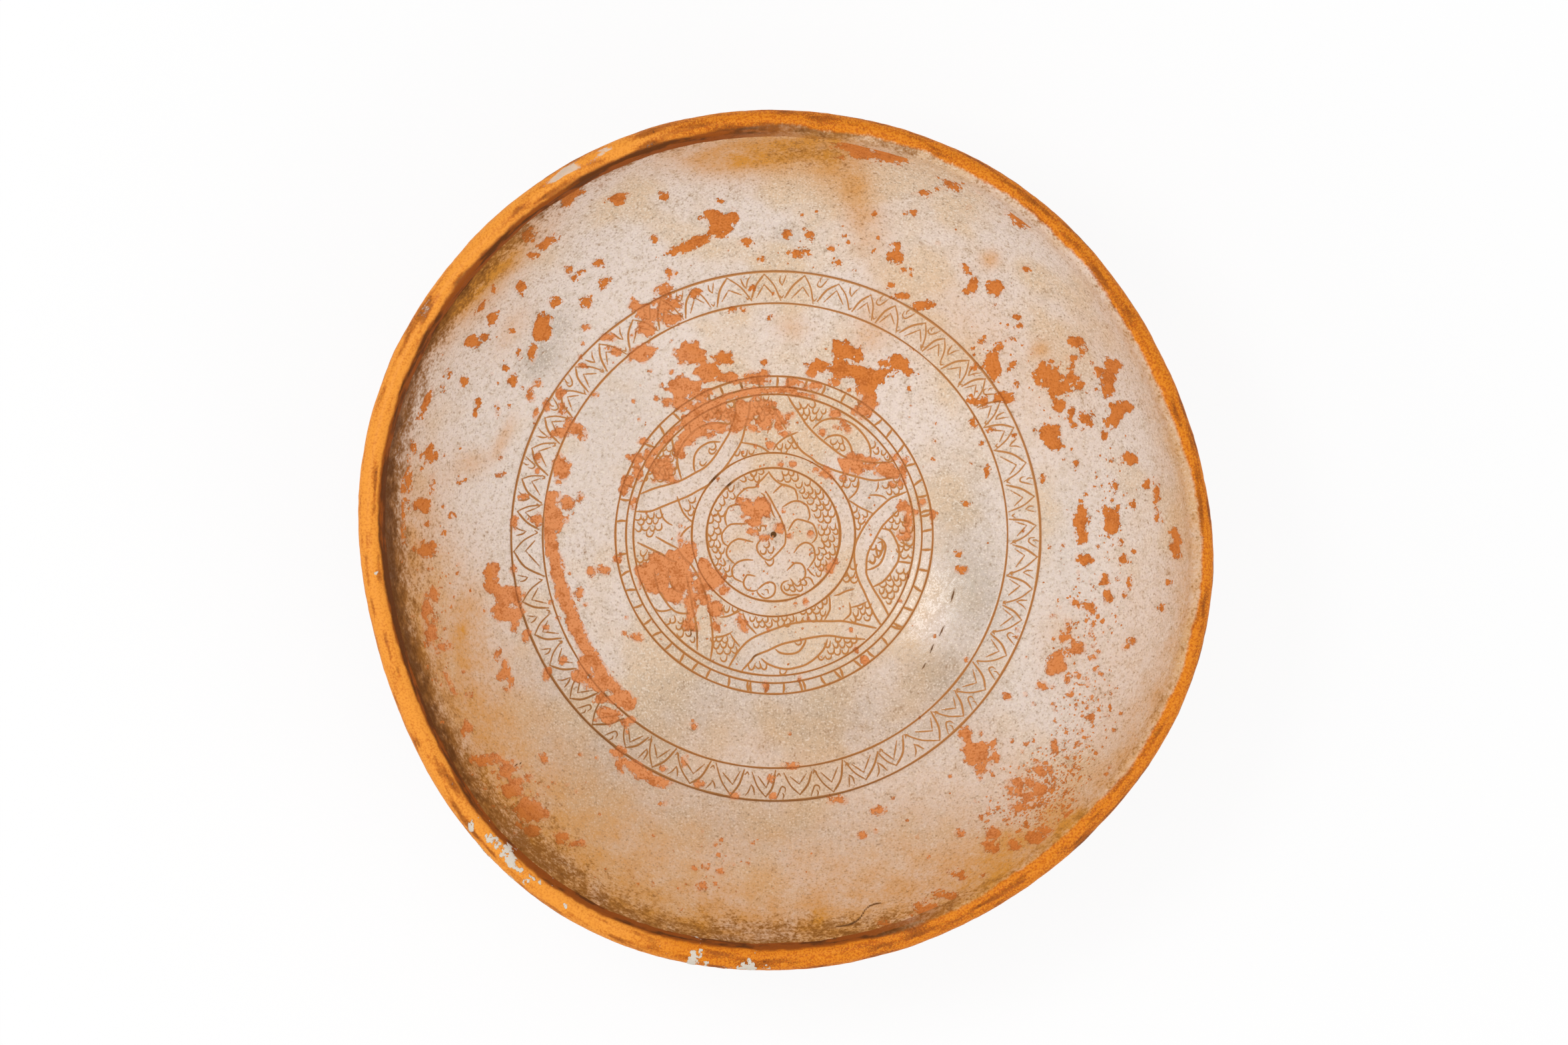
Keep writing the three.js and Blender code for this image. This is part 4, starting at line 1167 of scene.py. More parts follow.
def glazed_slip():
    """Slip, scratched lines or bare clay, as the distances on the mesh say; only clean slip is glossy."""
    finish = Finish("glazed_slip", specular=0.16)
    mottle, grit = finish.grain(3.2, 5), finish.grain(0.6, 3)
    chip, crumb = finish.chips(1.3), finish.chips(0.55)
    cut, flake, pale, brown = [finish.mark(name) for name in ("cut", "flake", "pale", "brown")]
    thin = sharp(frayed(flake, (1.6, mottle)), 0.7, -0.1) * (0.15 + 0.35 * pale)
    slip = blend(thin, clouded_slip(finish, mottle, grit), PALE_CLAY)
    line_clay = blend(pale, SCRATCHED_CLAY, MEDALLION_LINE)
    line_clay = blend(finish.mark("dirt") * (0.6 + 0.7 * mottle), line_clay, DIRT)
    scratched = sharp(frayed(cut, (0.25, grit)), 0.1, -0.08)
    lost = sharp(frayed(flake, (1.3, chip), (0.7, crumb)), 0.03, -0.03)
    specks = finish.mark("specks") * (0.4 + 1.2 * mottle)
    speckled = sharp(crumb + 0.47 * specks, 1.03, 1.05)
    pecked = sharp(chip + 0.3 * specks, 1.03, 1.05)
    bare = 1 - (1 - lost) * (1 - speckled) * (1 - pecked)
    clay = layered(
        blend(sharp(frayed(pale, (0.6, mottle)), 0.2, 0.8), BARE_CLAY, PALE_CLAY),
        (sharp(frayed(mottle, (0.6, grit)), 0.45, 0.7) * 0.65, DEEP_CLAY),
        (sharp(grit, 0.5, 0.68) * 0.5, DEEP_CLAY),
        (sharp(grit, 0.45, 0.3) * 0.35, PALE_CLAY),
        (sharp(brown, 0.1, 0.9) * 0.5, BROWN),
        (scratched * 0.36, blend(grit, DEEP_CLAY, DIRT)),
    )
    colour = blend(bare, blend(scratched, slip, line_clay), clay)
    # No gloss under the grime with painted shade, or on brown.
    clean = sharp(finish.mark("grime_and_shade") + brown, 0.7, 0.1)
    glazed = (1 - bare) * (1 - scratched) * clean
    finish.gloss(glazed * sharp(frayed(grit, (0.5, mottle)), 0.42, 0.62), 0.18)
    roughness = 0.9 - glazed * (0.55 - 0.3 * mottle)
    return finish.wear(colour, roughness, grit * 0.5 + mottle * 0.6 - bare * 1.6, 0.16)


slip_finish = glazed_slip()

# %% [markdown]
# ## Grime and painted shade along the lip
#
# Under the lip the ochre and grime follow the rim: glaze ran there, and dirt was never quite wiped off.
# The lip also shades the wall just below it, and that shade is painted in with the grime, darkest at the
# left. A small table, read round the bowl, says where the amber starts and how much grime with painted
# shade and ochre hang below it.
# The wall's slip and the rim coat both ask the same functions, so a stain runs on across the seam
# between them.

# %% A table read round the lip
# Degrees; mm onto the lip where amber starts; grime with painted shade and how many mm it reaches down;
# ochre and its reach
LIP_STAINS = np.array([
    (0, 4.2, 0.15, 4, 0.3, 12), (30, 2.7, 0.15, 3, 0.25, 8), (60, 3.4, 0.25, 3, 0.35, 6),
    (90, 2.9, 0.7, 4.5, 0.2, 10), (110, 2.5, 0.75, 7, 0.2, 12), (130, 2.3, 0.85, 11, 0.14, 17),
    (150, 2.3, 0.95, 13, 0.16, 26), (180, 1.6, 1.3, 15, 0.15, 24), (210, 1.2, 1.15, 15, 0.1, 28),
    (230, 1.7, 0.6, 15, 0.05, 30), (250, 1.7, 0.6, 17, 0.05, 30), (270, 1.6, 0.58, 15, 0.0, 30),
    (300, 2.0, 0.38, 9, 0.28, 24), (330, 2.9, 0.26, 6, 0.32, 15),
])
AMBER_START, GRIME_AND_SHADE, SOAKED = 1, 2, 4  # columns of the table


def angle_of(points):
    """Angle of each point round the wheel axis, in radians from +X."""
    return np.arctan2(points[..., 1], points[..., 0])


def facing(points, side):
    """Cosine of the angle to a side of the bowl, given in degrees: 1 on that side and -1 opposite."""
    return np.cos(angle_of(points) - np.radians(side))


def bell(value, middle, width):
    """1 at the middle, falling off on both sides: e to the minus square of the distance in widths."""
    return np.exp(-(((value - middle) / width) ** 2))


def round_lip(points, column):
    """One column of the table, read between its rows at the angle of each point."""
    return np.interp(np.degrees(angle_of(points)), LIP_STAINS[:, 0], LIP_STAINS[:, column], period=360)


print(len(LIP_STAINS), "rows of stains round the lip")

# %% Stains that follow the lip
KHAKI_SIDE = -12  # the side, in degrees, where thin dirty glaze lies under the lip
KHAKI_REACH = 15
RISE_SIDE = 245  # the side on which ochre has soaked far down the wall
RISE_RADII = (72, 117)
RISE = 0.68


def amber_edge(points, below_lip):
    """How far in mm a point lies within the amber, whose edge wanders along the inner side of the lip."""
    return 0.5 * rough_noise(points, 13, 52) - round_lip(points, AMBER_START) - below_lip


def bell_below(points, amber, column):
    """A share of the table times a bell curve down the wall, as wide as the table's next column says."""
    return round_lip(points, column) * bell(np.clip(-amber, 0, None), 0, round_lip(points, column + 1))


def stains(points, amber):
    """Soaked ochre, grime with painted shade below the lip, and the soft spots of brown, grey and lilac
    slip, which is partly painted light.
    """
    rise = RISE * eased(0.1, 0.95, facing(points, RISE_SIDE)) * eased(*RISE_RADII, radius_of(points))
    under_right = eased(0.55, 0.95, facing(points, KHAKI_SIDE))
    khaki = under_right * bell(np.clip(-amber, 0, None), 0, KHAKI_REACH)
    soaked = soft_spots(points, OCHRE_SPOTS) + rise + bell_below(points, amber, SOAKED)
    return {
        "ochre": soaked + 0.26 * khaki,
        "grime_and_shade": bell_below(points, amber, GRIME_AND_SHADE),
        # grime below the lip, with painted shade
        "brown": soft_spots(points, BROWN_SPOTS),
        "grey": soft_spots(points, GREY_SPOTS) + 0.22 * khaki,
        # paler lilac slip, partly painted light
        "lilac_and_light": soft_spots(points, LILAC_AND_LIT_SPOTS),
    }


lip_sample = stains(rim_line, amber_edge(rim_line, 0.0))
# The grime mark carries painted shade as well.
print(f"grime along the lip runs from {lip_sample['grime_and_shade'].min():.2f} to {lip_sample['grime_and_shade'].max():.2f}")

# %% [markdown]
# ## What the slip carries
#
# Strokes, flakes, stains, dirt, painted light and painted shade are all worked out on the plain face and
# kept as marks, which the material reads. The same marks say how far each point sinks: lost slip goes
# down towards the clay, a stroke makes a groove, and faint spiral ridges are left from the potter's
# fingers.

# %% Marks on the face
PALE_MIDDLE = (58, 40)  # radii over which the paler bare clay of the medallion ends
# Sides where it is paler further out too: degrees, how much, and the radii over which that ends
PALE_SIDES = [(195, 0.8, (96, 78)), (265, 0.55, (114, 104))]


def slip_marks(points, below_lip, strokes):
    """Everything that the material reads, worked out on the plain face."""
    radius = radius_of(points)
    pale = eased(*PALE_MIDDLE, radius)
    for side, share, ends in PALE_SIDES:
        there = share * eased(-0.3, 0.4, facing(points, side)) * eased(*ends, radius)
        pale = np.maximum(pale, there)
    hole = radius_of(points[..., :2] - COMPASS_HOLE) - COMPASS_RADIUS
    cut = np.minimum(stroke_edge(points, strokes + scratch_strokes), circle_edge(points))
    return {
        **stains(points, amber_edge(points, below_lip)),
        "cut": np.minimum(cut, hole),
        "flake": flake_edge(points),
        "dirt": soft_spots(points, DIRT_SPOTS),
        "pale": pale,
        "specks": soft_spots(points, SPECK_FIELDS),
    }


print(len(slip_marks(rim_line, 0.0, [])), "marks on every point of the slip")

# %% How far the face sinks
GROOVE_DEPTH = 0.2
FLAKE_DEPTH = 0.32
DEEPEST = 0.74
RIDGE_HEIGHT = 0.03
RIDGE_SPACING = 2.6


def face_depth(points, turn, angle, below_lip, marks):
    """How far the face sinks: in lost slip, along strokes, over faint spiral ridges and under the amber.

    A ridge is a sine of the way up the wall plus the angle round it, so it climbs once per turn.
    """
    lost = FLAKE_DEPTH * eased(0.12, -0.28, marks["flake"]) * (1 + 0.25 * noise(points, 1.3, 61))
    groove = GROOVE_DEPTH * eased(0.1, -0.22, marks["cut"]) * np.where(lost > 0.1, 0.6, 1)
    spiral = 2 * np.pi * ELLIPSE_RADIUS * turn / RIDGE_SPACING + angle
    ridges = RIDGE_HEIGHT * (np.sin(spiral) * noise(points, 18, 62) + 3 * noise(points, 24, 63))
    tucked = 0.25 * eased(3.4, 2.2, below_lip)
    return np.minimum(lost + groove + ridges + 4 * RIDGE_HEIGHT + tucked, DEEPEST)


print(f"grooves are {GROOVE_DEPTH} mm deep, flakes {FLAKE_DEPTH} mm and nothing over {DEEPEST} mm")

# %% [markdown]
# ## The fields of slip
#
# The circles cut the lining into separate fields. Each one is a thin ring: its face follows the ellipse
# and sinks as the marks say, and its back lies on the clay. The fields meet in the middle of the
# scratched circles, at the bottom of the groove.

# %% Build the slip, one field after the other
HAIR = 0.02  # half the gap between two fields, in mm
BACK_ROWS = 8
WALL_TOP = 2.2  # how far below the lip the last field ends, under the amber coat


def slip_field(name, node, from_turn, to_turn, rows, columns, strokes):
    """A ring of slip between two angles of the ellipse; from 0 it is a disc that ends on the axis."""
    on_axis = bool(from_turn == 0)
    turns = np.linspace(from_turn, to_turn, rows + on_axis)[on_axis:]
    turn, angle = np.meshgrid(turns, angles(columns), indexing="ij")
    plain = carried(*section(turn, 0.0), angle)
    below_lip = (LIP_TURN - turn) * LIP_TRAVEL
    marks = slip_marks(plain, below_lip, strokes)
    depth = face_depth(plain, turn, angle, below_lip, marks)
    behind = np.linspace(rows - 1, 0, BACK_ROWS).astype(int)
    face = carried(*section(turn, depth), angle)
    back = carried(*section(turn[behind], SLIP_THICKNESS), angle[behind])
    marks = {mark: np.concatenate([values, values[behind]]) for mark, values in marks.items()}
    grid = np.concatenate([face, back])
    return turned_skin(name, grid, marks, slip_finish, node, on_axis)


hair_turn = HAIR / ELLIPSE_RADIUS
field_edges = [0] + [turn_at(line) for line, _ in CIRCLES] + [turn_below_lip(WALL_TOP)]
FIELDS = [  # piece, CAD node, rows, columns, strokes
    ("roundel_slip", "slip_roundel", 92, 720, roundel_strokes),
    ("ring_slip", "slip_ring_band", 22, 900, []),
    ("knot_slip", "slip_knot_field", 84, 1080, knot_strokes),
    ("fillet_slip", "slip_border_fillet", 12, 1150, []),
    ("border_slip", "slip_dash_border", 16, 1200, border_strokes),
    ("plain_slip", "slip_plain_zone", 78, 1150, []),
    ("zigzag_slip", "slip_zigzag_band", 44, 1900, band_strokes),
    ("wall_slip", "slip_wall", 78, 1150, []),
]
for (name, node, rows, columns, strokes), start, end in zip(FIELDS, field_edges, field_edges[1:]):
    slip_field(name, node, start + hair_turn * (start > 0), end - hair_turn, rows, columns, strokes)

# %% [markdown]
# ## Fired clay
#
# The outside is bare terracotta. Wheel lines run round it, grit shows as pale and dark dots, and the
# kiln left darker clouds. Slip that ran over the rim dried in pale smears, which an attribute places.

# %% The fired clay
TERRACOTTA = paint(198, 122, 72)
DARK_TERRACOTTA = paint(160, 88, 48)
PALE_TERRACOTTA = paint(216, 152, 104)
KILN_CLOUD = paint(112, 74, 50)
GRIT = paint(232, 206, 176)
SLIP_SMEAR = paint(222, 206, 186)


def fired_clay():
    """Terracotta under coats of wheel lines, mottling, kiln clouds, grit and dried slip."""
    finish = Finish("fired_clay", specular=0.25)
    cloud, mottle = finish.grain(40, 4), finish.grain(6, 5)
    weave, grit = finish.grain(1.8, 5), finish.grain(0.6, 2)
    wheel_lines = finish.grain(9, 4, (0.08, 0.08, 4))
    smear = sharp(frayed(finish.mark("smear"), (1.1, mottle), (1.2, weave)), -0.05, 0.55)
    clay = layered(
        TERRACOTTA,
        (sharp(wheel_lines, 0.4, 0.66) * 0.5, DARK_TERRACOTTA),
        (sharp(mottle, 0.5, 0.75) * 0.45, PALE_TERRACOTTA),
        (sharp(weave, 0.5, 0.72) * 0.4, DARK_TERRACOTTA),
        (sharp(frayed(cloud, (0.3, mottle)), 0.52, 0.74) * 0.6, KILN_CLOUD),
        (sharp(grit, 0.68, 0.74) * 0.7, GRIT),
        (sharp(grit, 0.32, 0.25) * 0.6, KILN_CLOUD),
        (smear * (0.25 + 0.4 * mottle + 0.4 * weave), SLIP_SMEAR),
    )
    return finish.wear(clay, 0.72 + 0.2 * mottle, grit * 0.7 + wheel_lines + weave * 0.8 + mottle, 0.25)


clay_finish = fired_clay()

# %% [markdown]
# ## The thrown shell
#
# The shell runs from the middle of the inside, hidden under the slip, over the lip and down the
# outside. On the outside the fingers left ridges that climb in a spiral as the wall was drawn up, and a
# rib smoothed them again here and there.

# %% The lip, and the smears below it
def lip_arc(rows, raised, columns):
    """Radius and height on the half circle over the wall's top, inside to outside, raised off the clay."""
    swing = (np.arange(1, rows) / rows * np.pi)[:, None] * np.ones(columns)
    middle_radius, middle_height = section(LIP_TURN, COAT_DEPTH + WALL_AT_RIM / 2)
    outer_radius, outer_height = section(LIP_TURN, COAT_DEPTH + WALL_AT_RIM / 2 + 1)
    away = np.array([outer_radius - middle_radius, outer_height - middle_height])
    up = np.array([-away[1], away[0]])
    reach = WALL_AT_RIM / 2 + raised
    radius = middle_radius + reach * (np.sin(swing) * up[0] - np.cos(swing) * away[0])
    height = middle_height + reach * (np.sin(swing) * up[1] - np.cos(swing) * away[1])
    return radius, height


def on_rim(angle):
    """Points on a plain ring as wide as the mouth, for noise that changes only round the bowl."""
    return np.stack([np.cos(angle), np.sin(angle), 0 * angle], axis=-1) * MOUTH_RADIUS


def smear_amount(points, below_lip):
    """Above 0 in the pale smears: they hang from the rim by lengths that vary round the bowl."""
    angle = angle_of(points)
    hang = 5 + 13 * rough_noise(on_rim(angle), 22, 71, 5)
    upper_left = 6 * bell(angle, np.radians(123), 0.25)
    return eased(0, 8, hang + upper_left - below_lip) - 0.45


print(f"the lip's top is {lip_arc(60, 0, 1)[1].max():.1f} mm above the table, before the warp")

# %% Build the shell
SHELL_COLUMNS = 480
INSIDE_ROWS = 50
LIP_ROWS = 14
OUTSIDE_ROWS = 120
FINGER_RIDGE = 0.28
FINGER_SPACING = 6.5
NO_SMEAR = 99.0  # a length below the lip that no smear reaches, for what lies inside


def thrown_shell():
    """The section carried round: inside at the coat's depth, half circle over the lip, outside wall.

    Outside, a sine along a spiral gives the finger ridges; noise makes them uneven; they fade at the lip.
    """
    angle = angles(SHELL_COLUMNS)
    inside_turn = np.linspace(0, LIP_TURN, INSIDE_ROWS + 1)[1:, None]
    outside_turn = np.linspace(LIP_TURN, 0, OUTSIDE_ROWS + 1)[:-1, None]
    inside = carried(*section(inside_turn + 0 * angle, COAT_DEPTH), angle)
    lip = carried(*lip_arc(LIP_ROWS, 0, SHELL_COLUMNS), angle)
    plain = carried(*section(outside_turn + 0 * angle, outside_depth(outside_turn)), angle)
    spiral = 2 * np.pi * ELLIPSE_RADIUS * outside_turn / FINGER_SPACING - angle
    ridges = FINGER_RIDGE * np.sin(spiral) * (0.5 + 0.5 * noise(plain, 40, 72))
    ridges = ridges + 0.4 * noise(plain, 32, 73) + 0.08 * rough_noise(plain, 3, 74)
    ridges = ridges * eased(LIP_TURN, LIP_TURN - 0.1, outside_turn)
    outside = carried(*section(outside_turn + 0 * angle, outside_depth(outside_turn) + ridges), angle)
    grid = np.concatenate([inside, lip, outside])
    outside_length = (LIP_TURN - outside_turn[:, 0]) * LIP_TRAVEL
    below_lip = np.concatenate([np.full(len(inside) + len(lip), NO_SMEAR), outside_length])
    marks = {"smear": smear_amount(grid, below_lip[:, None])}
    return turned_skin("shell_clay", grid, marks, clay_finish, "bowl_body", on_axis=True)


thrown_shell()

# %% [markdown]
# ## The foot ring
#
# The ring was rolled, set under the bowl and turned true. Its sides sweep out where it meets the bowl,
# and its resting edge is chipped and worn. Its top is pressed a little into the shell, as luted clay
# is.

# %% The sides of the foot
FOOT_RADIUS = 45
FOOT_WIDTH = 8
FOOT_FLARE = 1.5
FOOT_CHAMFER = 1
SIDE_ROWS = 22
PRESSED = 0.25
TABLE_STEPS = 2000


def turn_outside(radius):
    """Angle at which the outside of the shell has that radius, read from a fine table of the section."""
    turn = np.linspace(0, LIP_TURN, TABLE_STEPS)
    return np.interp(radius, section(turn, outside_depth(turn))[0], turn)


def foot_side(radius, flare_to, upwards):
    """One side: straight near the table, sweeping out to the shell with the third power of the height."""
    top = section(turn_outside(flare_to), outside_depth(turn_outside(flare_to)) - PRESSED)
    share = np.linspace(0, 1, SIDE_ROWS)
    share = share if upwards else share[::-1]
    return radius + (top[0] - radius) * share**3, FOOT_CHAMFER + (top[1] - FOOT_CHAMFER) * share


outer_heights = foot_side(FOOT_RADIUS, FOOT_RADIUS + FOOT_FLARE, upwards=True)[1]
print(f"the foot's outer side is {outer_heights.max():.1f} mm tall")

# %% Build the foot
FOOT_COLUMNS = 480
REST_ROWS = 16
SEAT_ROWS = 8
CHIP_DEPTH = 0.7


def foot_ring():
    """A loop in section: seat under the shell, outer side, rounded resting edge, inner side.

    Noise moves both sides in and out, and chips bite into them near the table.
    """
    inner = FOOT_RADIUS - FOOT_WIDTH
    inner_end, outer_end = turn_outside(inner - FOOT_FLARE), turn_outside(FOOT_RADIUS + FOOT_FLARE)
    seat_turn = np.linspace(inner_end, outer_end, SEAT_ROWS)[1:-1]
    seat = section(seat_turn, outside_depth(seat_turn) - PRESSED)
    outer_side = foot_side(FOOT_RADIUS, FOOT_RADIUS + FOOT_FLARE, upwards=False)
    inner_side = foot_side(inner, inner - FOOT_FLARE, upwards=True)
    across = np.linspace(0, 1, REST_ROWS)[1:-1]
    rest_radius = FOOT_RADIUS - FOOT_WIDTH * across
    edge = np.minimum(across, 1 - across) * FOOT_WIDTH
    worn = (1 - edge / FOOT_CHAMFER).clip(0)
    rest_height = FOOT_CHAMFER * (1 - np.sqrt(np.clip(1 - worn**2, 0, 1)))
    radius = np.concatenate([seat[0], outer_side[0], rest_radius, inner_side[0]])[:, None]
    height = np.concatenate([seat[1], outer_side[1], rest_height, inner_side[1]])[:, None]
    angle = angles(FOOT_COLUMNS)
    plain = carried(radius + 0 * angle, height + 0 * angle, angle)
    middle = FOOT_RADIUS - FOOT_WIDTH / 2
    wander = 0.3 * noise(plain, 14, 81) + 0.1 * rough_noise(plain, 2.5, 82)
    chips = CHIP_DEPTH * eased(0.35, 0.75, noise(plain, 5, 83)) * eased(3.2, 0.4, height)
    narrower = np.sign(middle - radius) * np.clip(np.abs(radius - middle) / 3, 0, 1) * (wander + chips)
    lifted = np.where(height < 0.3, 0.25 * chips + 0.05 * np.abs(wander), 0)
    grid = carried(radius + narrower, height + lifted, angle)
    marks = {"smear": np.full(grid.shape[:2], -1.0)}
    return turned_skin("foot_clay", grid, marks, clay_finish, "foot_ring")


foot_ring()

# %% [markdown]
# ## The amber rim
#
# Over the lip there is no slip, so the glaze lies on bare clay and turned amber. It is painted brighter
# at the left, where the light falls, and pitted with dark specks at the right; along its outer edge there
# and at the top it is painted darker, as shade where the lip rolls away. On the inner face of the lip it
# is painted dark umber at the left, grime with painted shade, while slip still shows at the right.
# Plaster from an old repair or lime from the ground clings to it in a few places.

# %% The amber glaze
AMBER = paint(226, 132, 24)
# Pale flecks in the amber, and the painted light on the lip at the left
PALE_AND_LIT_AMBER = paint(241, 155, 56)
RED_AMBER = paint(188, 88, 8)
TREACLE = paint(134, 70, 12)
# Painted shade along the outer edge of the lip
EDGE_SHADE_BROWN = paint(74, 44, 18)
# Grime with painted shade on the inner face of the lip at the left
SHADED_UMBER = paint(150, 76, 14)
DEEP_SHADED_UMBER = paint(98, 50, 8)
LIME = paint(222, 214, 202)


def amber_glaze():
    """Amber with streaks and pits, painted light at the left and painted shade on the outer edge, umber
    with painted shade or slip on the inner face, and crusts of lime.
    """
    finish = Finish("amber_glaze", specular=0.1)
    mottle, grit, fine = finish.grain(3.2, 5), finish.grain(0.6, 3), finish.grain(0.35, 3)
    cloud, crumb = finish.grain(18, 4), finish.chips(0.8)
    # The lip is painted brighter at the left, where the light falls, and pits crowd where that painted
    # light is weak.
    streak, painted_light = finish.mark("streak"), finish.mark("painted_light")
    pitted = sharp(painted_light, 0.9, 0.0)
    # Painted shade darkens the outer edge of the lip, broken by streaks.
    shaded_edge = frayed(finish.mark("shaded_edge") + 0.6 * streak, (1.2, grit), (0.5, crumb))
    pale = frayed(finish.mark("pale") + 0.6 * streak, (0.6, mottle), (0.6, grit))
    amber = layered(
        blend(sharp(frayed(painted_light, (1.2, cloud)), 0.2, 0.9), AMBER, PALE_AND_LIT_AMBER),
        (sharp(frayed(streak, (1.4, grit)), -0.2, 0.9) * 0.6, RED_AMBER),
        (sharp(grit, 0.46, 0.62) * (0.3 + 0.4 * pitted), RED_AMBER),
        (sharp(grit, 0.44, 0.3) * 0.4, PALE_AND_LIT_AMBER),
        (sharp(fine + 0.3 * streak, 0.5, 0.74) * (0.06 + 0.5 * pitted), TREACLE),
        (sharp(mottle + 0.5 * streak, 0.62, 1.0) * (0.55 - 0.25 * pitted), TREACLE),
        (sharp(shaded_edge, 0.5, 1.1) * 0.8, EDGE_SHADE_BROWN),
        (sharp(crumb + 0.06 * streak, 0.88, 0.94) * (0.05 + 0.35 * pitted), TREACLE),
        (sharp(pale, 0.74, 1.0) * 0.75, SLIP_SMEAR),
    )
    # At the left the inner face is painted dark umber: grime with painted shade, deepest where the grime
    # mark is strong.
    deep_shade = sharp(mottle + 0.5 * streak + 0.5 * (finish.mark("grime_and_shade") - 1), 0.3, 0.7)
    umber_in_shade = blend(deep_shade, SHADED_UMBER, DEEP_SHADED_UMBER)
    inner_face = blend(finish.mark("slipped"), umber_in_shade, clouded_slip(finish, mottle, grit))
    edge = sharp(frayed(finish.mark("amber"), (1.8, mottle), (0.8, grit)), -0.6, 0.6)
    crust = sharp(frayed(finish.mark("lime"), (1.4, mottle), (1.0, grit), (0.7, crumb)), 0.1, 0.2)
    colour = blend(crust, blend(edge, inner_face, amber), blend(grit * 0.6, LIME, GREY_CREAM))
    finish.gloss(0.15 * (1 - crust), 0.35)
    return finish.wear(colour, 0.55 + 0.3 * mottle, grit * 0.6 + mottle * 1.2 + crust * 0.6, 0.2)


amber_finish = amber_glaze()

# %% [markdown]
# The coat is a loop in section: up from its inside edge, over the lip, down to its outside edge and
# back beneath. Its outside edge and the colour's inside edge wander, because a brush or a dip leaves
# no straight line.

# %% What lies on the coat
COAT_COLUMNS = 1000
COAT_INSIDE = 3.2
COAT_OUTSIDE = 8.5
COAT_RAISED = 0.9
COAT_BACK = -0.15
COAT_INSIDE_ROWS = 10
COAT_LIP_ROWS = 26
COAT_OUTSIDE_ROWS = 22
LIP_LENGTH = (WALL_AT_RIM / 2 + COAT_RAISED) * np.pi
# Angle, half width in degrees, thickness, share of the way over the lip, how fast it ends on both sides
LIME_CRUSTS = [
    (228, 5.4, 0.75, 0.42, 2.0), (257.8, 2.8, 0.6, 0.6, 2.2), (265.5, 3.0, 0.35, 0.7, 3.0),
    (184.4, 0.4, 0.5, 0.36, 6.0),
]


def lime_crusts(plain, degrees, across):
    """Above 0 in the crusts: noise and a small lead, less the distance from the nearest crust's middle."""
    lime = np.full(plain.shape[:2], -1.0)
    patchy = rough_noise(plain, 2.4, 94, 4)
    for middle, half_width, thickness, seat, narrowness in LIME_CRUSTS:
        off = np.abs((degrees - middle + 180) % 360 - 180) / half_width
        here = 0.55 - off - narrowness * np.abs(across - seat) + 1.6 * patchy
        lime = np.maximum(lime, np.minimum(here, thickness))
    return lime


def coat_marks(plain, degrees, across, travelled, lime):
    """Everything that the amber reads; travelled is the way in mm over the lip from its inside edge."""
    amber = amber_edge(plain, -travelled)
    right_side = 0.5 + 0.5 * facing(plain, -15)
    outer_edge = eased(0.6, 1, across) * (0.55 + 0.45 * eased(LIP_LENGTH + 4, LIP_LENGTH, travelled))
    chipped = 0.9 * (bell(degrees, 114.3, 2.4) + bell(degrees, 120.5, 3.4)) + 0.2 * bell(degrees, 135, 26)
    along_rim = np.stack([plain[..., 0] / 6, plain[..., 1] / 6, travelled], axis=-1)
    return {
        "lime": lime,
        # painted shade along the outer edge, on the right and at the top
        "shaded_edge": outer_edge * np.maximum(0.75 * right_side, 0.6 * bell(degrees, 88, 12)),
        "pale": chipped * bell(travelled, 6.2, 2.0),
        # painted light on the lip's top on the left side
        "painted_light": eased(0.05, 0.5, facing(plain, 180)) * eased(1.0, 0.7, across),
        "streak": rough_noise(along_rim, 1.6, 95, 4),
        "amber": amber,
        **stains(plain, amber),
        "slipped": eased(0.0, 0.35, facing(plain, 10)),
    }


print(len(LIME_CRUSTS), "crusts of lime on the rim")

